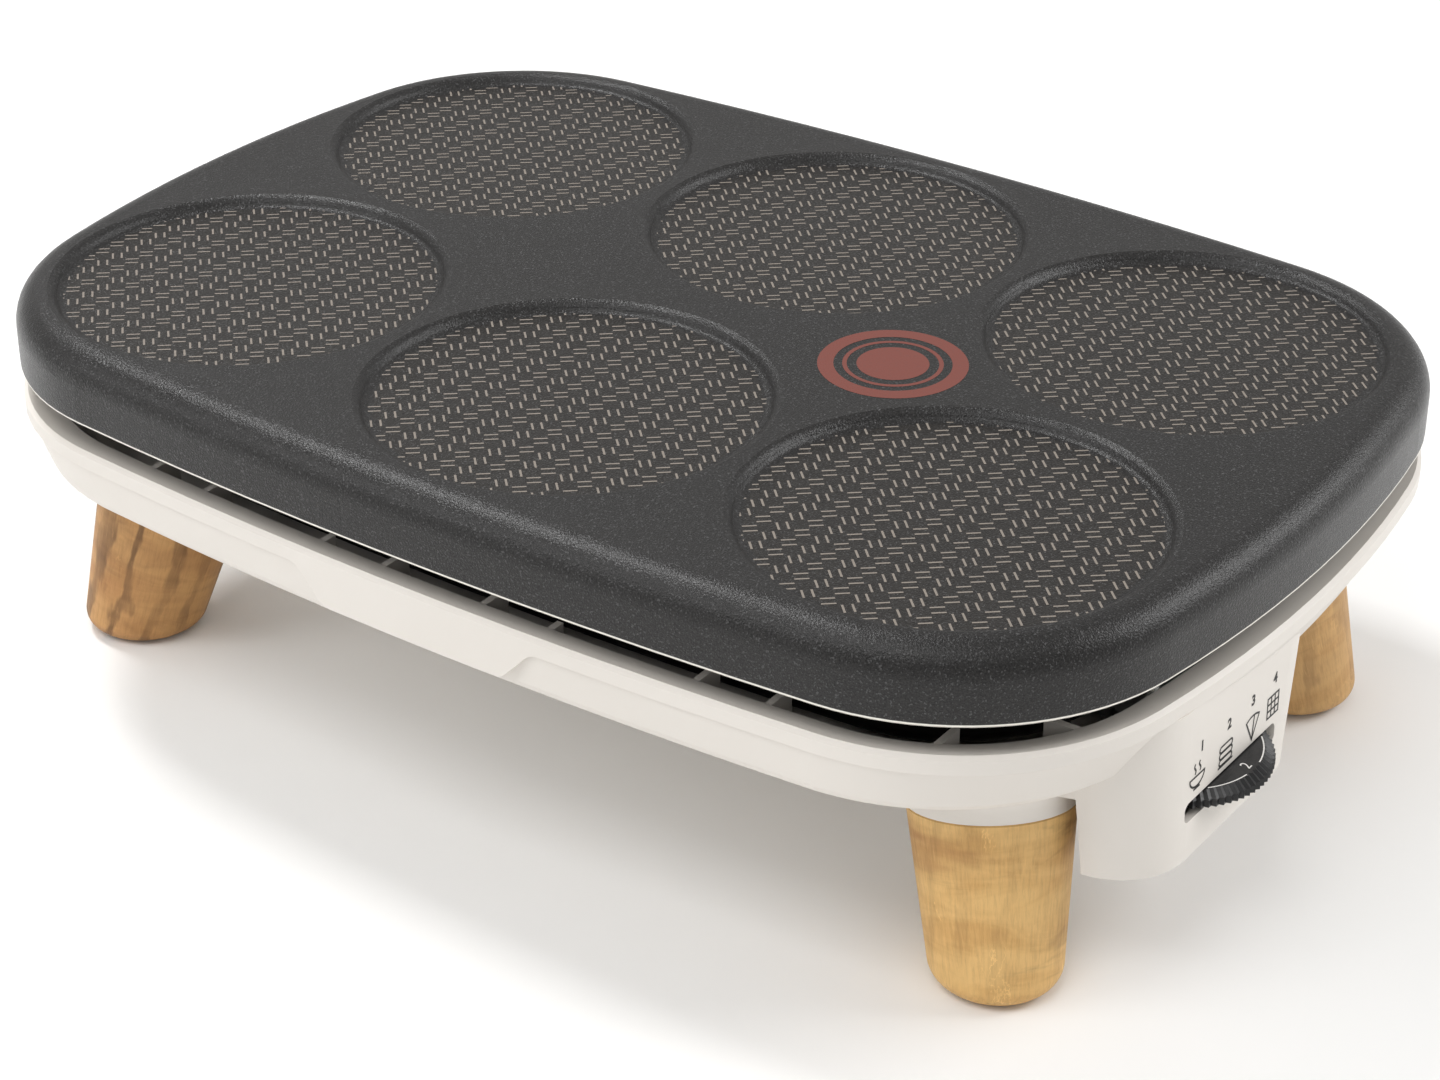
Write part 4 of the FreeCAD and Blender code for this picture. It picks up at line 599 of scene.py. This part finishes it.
def printMaterial(name, base, roughness=0.5, wear=0.0, under=(0.05, 0.05, 0.05), relief=0.2):
    # The colour underneath shows through where the print is worn
    material, tree, shader = newMaterial(name, roughness=roughness, specular=0.4)
    point = objectPoint(tree)
    grain = noise(tree, point, inks["grainScale"], detail=2.0)
    worn = remap(tree, noise(tree, point, inks["wearScale"]), inks["wearRange"], (0, wear))
    tone = mixColour(tree, worn, twoShades(tree, grain, base, inks["shades"]), colour(under))
    feed(tree, shader, colour=tone, normal=bump(tree, grain, relief, inks["bumpHeight"]))
    return material


def placePiece(name, mesh, body):
    piece = bpy.data.objects.new(name, mesh)
    scene.collection.objects.link(piece)
    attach(piece, body)
    return piece


def addPiece(name, vertices, faces, material, body):
    mesh = bpy.data.meshes.new(name)
    mesh.from_pydata(vertices, [], faces)
    mesh.update()
    mesh.materials.append(material)
    return placePiece(name, mesh, body)


def ribbon(points, width, closed=False):
    # A flat stroke of even width along a line of 2D points, as vertices and quads
    longestMitre, flattestTurn, tiny = 2.0, 0.3, 1e-9
    count = len(points)
    vertices = []
    for index, (u, v) in enumerate(points):
        before = points[index - 1] if index or closed else points[index]
        after = points[(index + 1) % count] if index < count - 1 or closed else points[index]
        steps = [Vector((u - before[0], v - before[1])), Vector((after[0] - u, after[1] - v))]
        steps = [step.normalized() for step in steps if step.length > tiny]
        along = sum(steps, Vector((0, 0))).normalized()
        normal = Vector((-along.y, along.x))
        turn = abs(normal.dot(Vector((-steps[0].y, steps[0].x))))
        reach = normal * width / 2 * min(longestMitre, 1.0 / max(flattestTurn, turn))
        vertices += [tuple(Vector((u, v)) + reach), tuple(Vector((u, v)) - reach)]
    faces = []
    for index in range(count if closed else count - 1):
        a, b = 2 * index, 2 * ((index + 1) % count)
        faces.append((a, a + 1, b + 1, b))
    return vertices, faces


def arcPoints(radiusU, radiusV, fromDegrees, toDegrees, u=0.0, v=0.0, steps=12):
    points = []
    for step in range(steps + 1):
        angle = math.radians(fromDegrees + (toDegrees - fromDegrees) * step / steps)
        points.append((u + radiusU * math.cos(angle), v + radiusV * math.sin(angle)))
    return points


def evaluatedMesh(source):
    bpy.context.view_layer.update()
    return bpy.data.meshes.new_from_object(source.evaluated_get(bpy.context.evaluated_depsgraph_get()))


def textFlat(text, size, weight=0.0):
    # A number as flat 2D vertices and faces, centred
    curve = bpy.data.curves.new("number", "FONT")
    curve.body = text
    curve.size = size
    curve.offset = weight
    curve.resolution_u = 4
    curve.align_x = "CENTER"
    curve.align_y = "CENTER"
    made = bpy.data.objects.new("number", curve)
    scene.collection.objects.link(made)
    mesh = evaluatedMesh(made)
    vertices = [(v.co.x, v.co.y) for v in mesh.vertices]
    faces = [tuple(p.vertices) for p in mesh.polygons]
    bpy.data.objects.remove(made)
    bpy.data.meshes.remove(mesh)
    middleU = (min(v[0] for v in vertices) + max(v[0] for v in vertices)) / 2
    middleV = (min(v[1] for v in vertices) + max(v[1] for v in vertices)) / 2
    return [(u - middleU, v - middleV) for u, v in vertices], faces


def joinFlat(parts):
    vertices, faces = [], []
    for partVertices, partFaces in parts:
        start = len(vertices)
        vertices += list(partVertices)
        faces += [tuple(index + start for index in face) for face in partFaces]
    return vertices, faces


def moveFlat(part, u, v, turn=0.0):
    cosine, sine = math.cos(turn), math.sin(turn)
    return [(x * cosine - y * sine + u, x * sine + y * cosine + v) for x, y in part[0]], part[1]


# Dashes in the hollows, by Geometry Nodes
dashes = {
    "pitch": 0.00669,
    "columns": 33,
    "rows": 44,
    "middleColumn": 0.00945,
    "middleRow": -0.000945,
    "length": 0.0042,
    "width": 0.00068,
    "pointsAlong": 7,  # so that the hollow's edge can trim a dash
    "pairSpacing": 0.00285,
    "risingAngle": 41.0,
    "fallingAngle": -45.0,
    "overlap": 0.0004,  # past the hollow's radius
    "lift": 0.00004,
    "colour": (0.23, 0.20, 0.172),
    "under": (0.10, 0.09, 0.08),
}


def geometryTree(name, inputs):
    # Each named input comes with its kind and its value
    tree = bpy.data.node_groups.new(name, "GeometryNodeTree")
    tree.interface.new_socket("Geometry", in_out="OUTPUT", socket_type="NodeSocketGeometry")
    for label, setting in inputs.items():
        tree.interface.new_socket(label, in_out="INPUT", socket_type="NodeSocket" + setting[0])
    return tree, tree.nodes.new("NodeGroupInput").outputs


def moved(tree, geometry, offset):
    return geometryNode(tree, "Transform", {"Geometry": geometry, "Translation": offset}).outputs[0]


def endTree(tree, geometry, material):
    painted = geometryNode(tree, "SetMaterial", {"Geometry": geometry, "Material": material}).outputs[0]
    tree.links.new(painted, tree.nodes.new("NodeGroupOutput").inputs[0])


def runTree(name, tree, inputs, body):
    # Sets the inputs by their identifiers, takes the result as a plain mesh and drops the modifier
    host = bpy.data.objects.new(name + "Host", bpy.data.meshes.new(name + "Host"))
    scene.collection.objects.link(host)
    modifier = host.modifiers.new("build", "NODES")
    modifier.node_group = tree
    for item in tree.interface.items_tree:
        if item.in_out == "INPUT":
            modifier[item.identifier] = inputs[item.name][1]
    mesh = evaluatedMesh(host)
    host.modifiers.remove(modifier)
    bpy.data.objects.remove(host)
    mesh.name = name
    return placePiece(name, mesh, body)


def dashTree(inputs):
    tree, take = geometryTree("printedDashes", inputs)
    # One pair of dashes, each cut into short lengths so that the hollow's edge can trim it
    dash = geometryNode(tree, "MeshGrid", {
        "Size X": take["Dash Length"], "Size Y": take["Dash Width"],
        "Vertices X": dashes["pointsAlong"], "Vertices Y": 2,
    }).outputs["Mesh"]
    pair = geometryNode(tree, "JoinGeometry")
    for share in (-0.5, 0.5):
        offset = combine(tree, y=calculate(tree, "MULTIPLY", take["Pair Spacing"], share))
        tree.links.new(moved(tree, dash, offset), pair.inputs[0])
    # Two grids of pairs, one rising and one falling, a column apart
    everywhere = geometryNode(tree, "JoinGeometry")
    double = calculate(tree, "MULTIPLY", take["Pitch"], 2.0)
    for angle, side in (("Rising Angle", 0.0), ("Falling Angle", 1.0)):
        grid = geometryNode(tree, "MeshGrid", {
            "Size X": calculate(tree, "MULTIPLY", double, dashes["columns"] - 1.0),
            "Size Y": calculate(tree, "MULTIPLY", take["Pitch"], dashes["rows"] - 1.0),
            "Vertices X": dashes["columns"], "Vertices Y": dashes["rows"],
        }).outputs["Mesh"]
        shift = calculate(tree, "MULTIPLY", take["Pitch"], side)
        column = calculate(tree, "ADD", take["Middle Column"], shift)
        grid = moved(tree, grid, combine(tree, column, take["Middle Row"], take["Level"]))
        turn = combine(tree, z=calculate(tree, "RADIANS", take[angle]))
        spread = {"Points": grid, "Instance": pair.outputs[0], "Rotation": turn}
        tree.links.new(geometryNode(tree, "InstanceOnPoints", spread).outputs[0], everywhere.inputs[0])
    real = geometryNode(tree, "RealizeInstances", {0: everywhere.outputs[0]}).outputs[0]
    # Keep what lies inside the six hollows
    halfEnds = calculate(tree, "MULTIPLY", take["Hollow Pitch Ends"], 0.5)
    ends = combine(tree, take["Hollow Pitch X"], halfEnds)
    middle = combine(tree, y=calculate(tree, "MULTIPLY", take["Hollow Pitch Middle"], 0.5))
    spot = geometryNode(tree, "InputPosition").outputs[0]
    fromMiddle = hollowDistance(tree, spot, ends, middle)
    outside = calculate(tree, "GREATER_THAN", fromMiddle, take["Hollow Radius"])
    cut = {"Geometry": real, "Selection": outside}
    kept = geometryNode(tree, "DeleteGeometry", cut, domain="FACE").outputs[0]
    endTree(tree, moved(tree, kept, take["Plate Middle"]), take["Material"])
    return tree


def makeDashes():
    paint = printMaterial("dashPrint", dashes["colour"], wear=0.35, under=dashes["under"], relief=0.08)
    inputs = {
        "Pitch": ("Float", dashes["pitch"]),
        "Dash Length": ("Float", dashes["length"]),
        "Dash Width": ("Float", dashes["width"]),
        "Pair Spacing": ("Float", dashes["pairSpacing"]),
        "Rising Angle": ("Float", dashes["risingAngle"]),
        "Falling Angle": ("Float", dashes["fallingAngle"]),
        "Middle Column": ("Float", dashes["middleColumn"]),
        "Middle Row": ("Float", dashes["middleRow"]),
        "Hollow Radius": ("Float", hollows["radius"] + dashes["overlap"]),
        "Hollow Pitch X": ("Float", hollows["pitchX"]),
        "Hollow Pitch Ends": ("Float", hollows["pitchEnds"]),
        "Hollow Pitch Middle": ("Float", hollows["pitchMiddle"]),
        "Plate Middle": ("Vector", plateMiddle),
        "Level": ("Float", plateHigh.z - hollows["depth"] + dashes["lift"]),
        "Material": ("Material", paint),
    }
    return runTree("hollow_dashes", dashTree(inputs), inputs, "plate")


dashPiece = makeDashes()
print("dashes:", len(dashPiece.data.polygons), "faces")


# Heat spot: plain rings between the hollows
heatSpot = {
    "middle": (0.0697, 0.0),
    "rings": [(0.0183, 0.0233), (0.0142, 0.0156), (0.0, 0.0112)],
    "lift": 0.00004,
    "colour": (0.17, 0.046, 0.034),
    "under": (0.08, 0.06, 0.055),
    "steps": 96,
}


def makeHeatSpot():
    middle = plateMiddle + Vector((*heatSpot["middle"], plateHigh.z + heatSpot["lift"]))
    vertices, faces = [], []
    steps = heatSpot["steps"]
    for inner, outer in heatSpot["rings"]:
        start = len(vertices)
        for radius in (outer, inner):
            if radius > 0:
                for step in range(steps):
                    angle = 2 * math.pi * step / steps
                    out = Vector((radius * math.cos(angle), radius * math.sin(angle), 0))
                    vertices.append(tuple(middle + out))
        if inner > 0:
            for step in range(steps):
                after = (step + 1) % steps
                faces.append((start + step, start + after, start + steps + after, start + steps + step))
        else:
            vertices.append(tuple(middle))
            for step in range(steps):
                faces.append((start + step, start + (step + 1) % steps, start + steps))
    look = {"roughness": 0.42, "wear": 0.25, "under": heatSpot["under"]}
    paint = printMaterial("heatSpotPrint", heatSpot["colour"], **look)
    return addPiece("heat_spot_rings", vertices, faces, paint, "plate")


makeHeatSpot()
print("heat spot printed")


# Numbers and small pictures over the dial
facePrint = {
    "numberSize": 0.0047,
    "numberWeight": 0.00018,
    "numbers": {
        "1": (-0.0582, 0.0762), "2": (-0.0419, 0.0750), "3": (-0.0274, 0.0753), "4": (-0.0138, 0.0759),
    },
    "pictures": [(-0.0603, 0.0673), (-0.0432, 0.0665), (-0.0270, 0.0660), (-0.0143, 0.0669)],
    "stroke": 0.00066,
    "lift": 0.00006,
    "colour": (0.022, 0.021, 0.020),
}
bowl = {
    "halfWidth": 0.0043,
    "depth": 0.0034,
    "footHalf": 0.0019,
    "footLevel": -0.0040,
    "steamPlaces": (-0.0014, 0.0014),
    "steamStart": 0.0010,
    "steamRise": 0.0005,
    "steamSway": 0.0005,
    "steamTurn": 0.9,
    "steamPoints": 8,
}
stack = {
    "plateHalf": 0.0044,
    "plateLevel": -0.0042,
    "cakes": 3,
    "cakeHalf": 0.0028,  # to where its round end starts
    "cakeRound": 0.0010,
    "cakeLevel": -0.0028,
    "cakePitch": 0.0022,
}
wedge = {
    "point": (0.0, -0.0044),
    "reach": (0.0084, 0.0082),
    "sides": (118, 62),
    "foldEnd": (0.0009, 0.0036),
}
square = {"half": 0.0034}


def bowlPicture(stroke):
    # A round bowl on a foot, with two curls of steam
    rim = arcPoints(bowl["halfWidth"], bowl["depth"], 180, 360, steps=14)
    foot = [(side * bowl["footHalf"], bowl["footLevel"]) for side in (-1, 1)]
    parts = [ribbon(rim, stroke, closed=True), ribbon(foot, stroke)]
    for place in bowl["steamPlaces"]:
        curl = []
        for step in range(bowl["steamPoints"]):
            sway = bowl["steamSway"] * math.sin(step * bowl["steamTurn"])
            curl.append((place + sway, bowl["steamStart"] + step * bowl["steamRise"]))
        parts.append(ribbon(curl, stroke))
    return joinFlat(parts)


def stackPicture(stroke):
    # Round cakes on a flat plate
    parts = [ribbon([(side * stack["plateHalf"], stack["plateLevel"]) for side in (-1, 1)], stroke)]
    end, radius = stack["cakeHalf"], stack["cakeRound"]
    for cake in range(stack["cakes"]):
        height = stack["cakeLevel"] + cake * stack["cakePitch"]
        outline = arcPoints(radius, radius, 90, 270, -end, height, steps=6)
        outline += arcPoints(radius, radius, 270, 450, end, height, steps=6)
        parts.append(ribbon(outline, stroke, closed=True))
    return joinFlat(parts)


def wedgePicture(stroke):
    # A quarter fold, point down
    outline = [wedge["point"]] + arcPoints(*wedge["reach"], *wedge["sides"], *wedge["point"], steps=10)
    fold = [wedge["point"], wedge["foldEnd"]]
    return joinFlat([ribbon(outline, stroke, closed=True), ribbon(fold, stroke)])


def squarePicture(stroke):
    # A square with crossing lines
    half = square["half"]
    parts = [ribbon([(-half, -half), (half, -half), (half, half), (-half, half)], stroke, closed=True)]
    for place in (-half / 3, half / 3):
        parts.append(ribbon([(place, -half), (place, half)], stroke))
        parts.append(ribbon([(-half, place), (half, place)], stroke))
    return joinFlat(parts)


def layOnFace(part, lift):
    # Drops flat 2D points (across, up) onto the front of the control box
    shell = BVHTree.FromObject(nodes["base_shell"], bpy.context.evaluated_depsgraph_get())
    clear = 0.05
    placed = []
    for across, height in part[0]:
        start = Vector((cadHigh.x + clear, plateMiddle.y + across, height))
        hit = shell.ray_cast(start, Vector((-1, 0, 0)))[0]
        placed.append((hit.x + lift, plateMiddle.y + across, height))
    return placed, part[1]


def makeFacePrint():
    ink = printMaterial("darkInk", facePrint["colour"])
    numbers = []
    for text, place in facePrint["numbers"].items():
        numbers.append(moveFlat(textFlat(text, facePrint["numberSize"], facePrint["numberWeight"]), *place))
    pictures = []
    for draw, place in zip((bowlPicture, stackPicture, wedgePicture, squarePicture), facePrint["pictures"]):
        pictures.append(moveFlat(draw(facePrint["stroke"]), *place))
    for name, parts in (("dial_scale_numbers", numbers), ("dial_scale_pictures", pictures)):
        vertices, faces = layOnFace(joinFlat(parts), facePrint["lift"])
        addPiece(name, vertices, faces, ink, "housing")


makeFacePrint()
print("face printed")


# White print on the dial wheel
wheelPrint = {
    "arcRadius": 0.0249,
    "arcWidth": 0.00042,
    "numberRadius": 0.0222,
    "numberSize": 0.0048,
    "step": 50.0,  # degrees between two numbers
    "numbers": ("0", "1", "2", "3", "4"),
    "restNumber": 2,
    "gap": 9.0,
    "lift": 0.00004,
    "colour": (0.80, 0.79, 0.77),
}


def makeWheelPrint():
    radius, arcRadius = wheelPrint["numberRadius"], wheelPrint["arcRadius"]
    step, gap = wheelPrint["step"], wheelPrint["gap"]
    parts = []
    for index, text in enumerate(wheelPrint["numbers"]):
        degrees = -(index - wheelPrint["restNumber"]) * step
        angle = math.radians(degrees)
        number = moveFlat(textFlat(text, wheelPrint["numberSize"]), 0, 0, angle + math.pi / 2)
        parts.append(moveFlat(number, radius * math.cos(angle), radius * math.sin(angle)))
        if index:
            arc = arcPoints(arcRadius, arcRadius, degrees + gap, degrees + step - gap)
            parts.append(ribbon(arc, wheelPrint["arcWidth"]))
    flat, faces = joinFlat(parts)
    level = wheelHigh.z + wheelPrint["lift"]
    vertices = [(wheelMiddle.x + u, wheelMiddle.y + v, level) for u, v in flat]
    ink = printMaterial("whiteInk", wheelPrint["colour"])
    return addPiece("dial_wheel_print", vertices, faces, ink, "dial")


makeWheelPrint()
print("dial wheel printed")


# Spring under the sensor plunger, wound by Geometry Nodes
spring = {
    "turns": 6.0,
    "wireRadius": 0.0005,
    "wireSides": 10,
    "travel": 0.003,
    "stepsPerTurn": 28,
}


def springTree(inputs):
    tree, take = geometryTree("springCoil", inputs)
    spiral = geometryNode(tree, "CurveSpiral", {
        "Resolution": take["Steps Per Turn"], "Rotations": take["Turns"], "Height": take["Rise"],
        "Start Radius": take["Coil Radius"], "End Radius": take["Coil Radius"],
    }).outputs[0]
    section = {"Resolution": spring["wireSides"], "Radius": take["Wire Radius"]}
    wire = geometryNode(tree, "CurvePrimitiveCircle", section).outputs["Curve"]
    sweep = {"Curve": spiral, "Profile Curve": wire, "Fill Caps": True}
    tube = moved(tree, geometryNode(tree, "CurveToMesh", sweep).outputs[0], take["Foot"])
    real = geometryNode(tree, "RealizeInstances", {0: tube}).outputs[0]
    endTree(tree, real, take["Material"])
    return tree


def makeSpring():
    low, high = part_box("sensor_spring")
    wireRadius = spring["wireRadius"]
    height = high.z - low.z
    foot = Vector(((low.x + high.x) / 2, (low.y + high.y) / 2, low.z + wireRadius))
    inputs = {
        "Turns": ("Float", spring["turns"]),
        "Steps Per Turn": ("Int", spring["stepsPerTurn"]),
        "Coil Radius": ("Float", (high.x - low.x) / 2 - wireRadius),
        "Wire Radius": ("Float", wireRadius),
        "Rise": ("Float", height - 2 * wireRadius),
        "Foot": ("Vector", foot),
        "Material": ("Material", springSkin),
    }
    coil = runTree("sensor_spring_coil", springTree(inputs), inputs, "housing")
    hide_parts("sensor_spring")
    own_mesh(coil)
    return coil


springPiece = makeSpring()
print("spring:", len(springPiece.data.polygons), "faces")


print("scene ready")
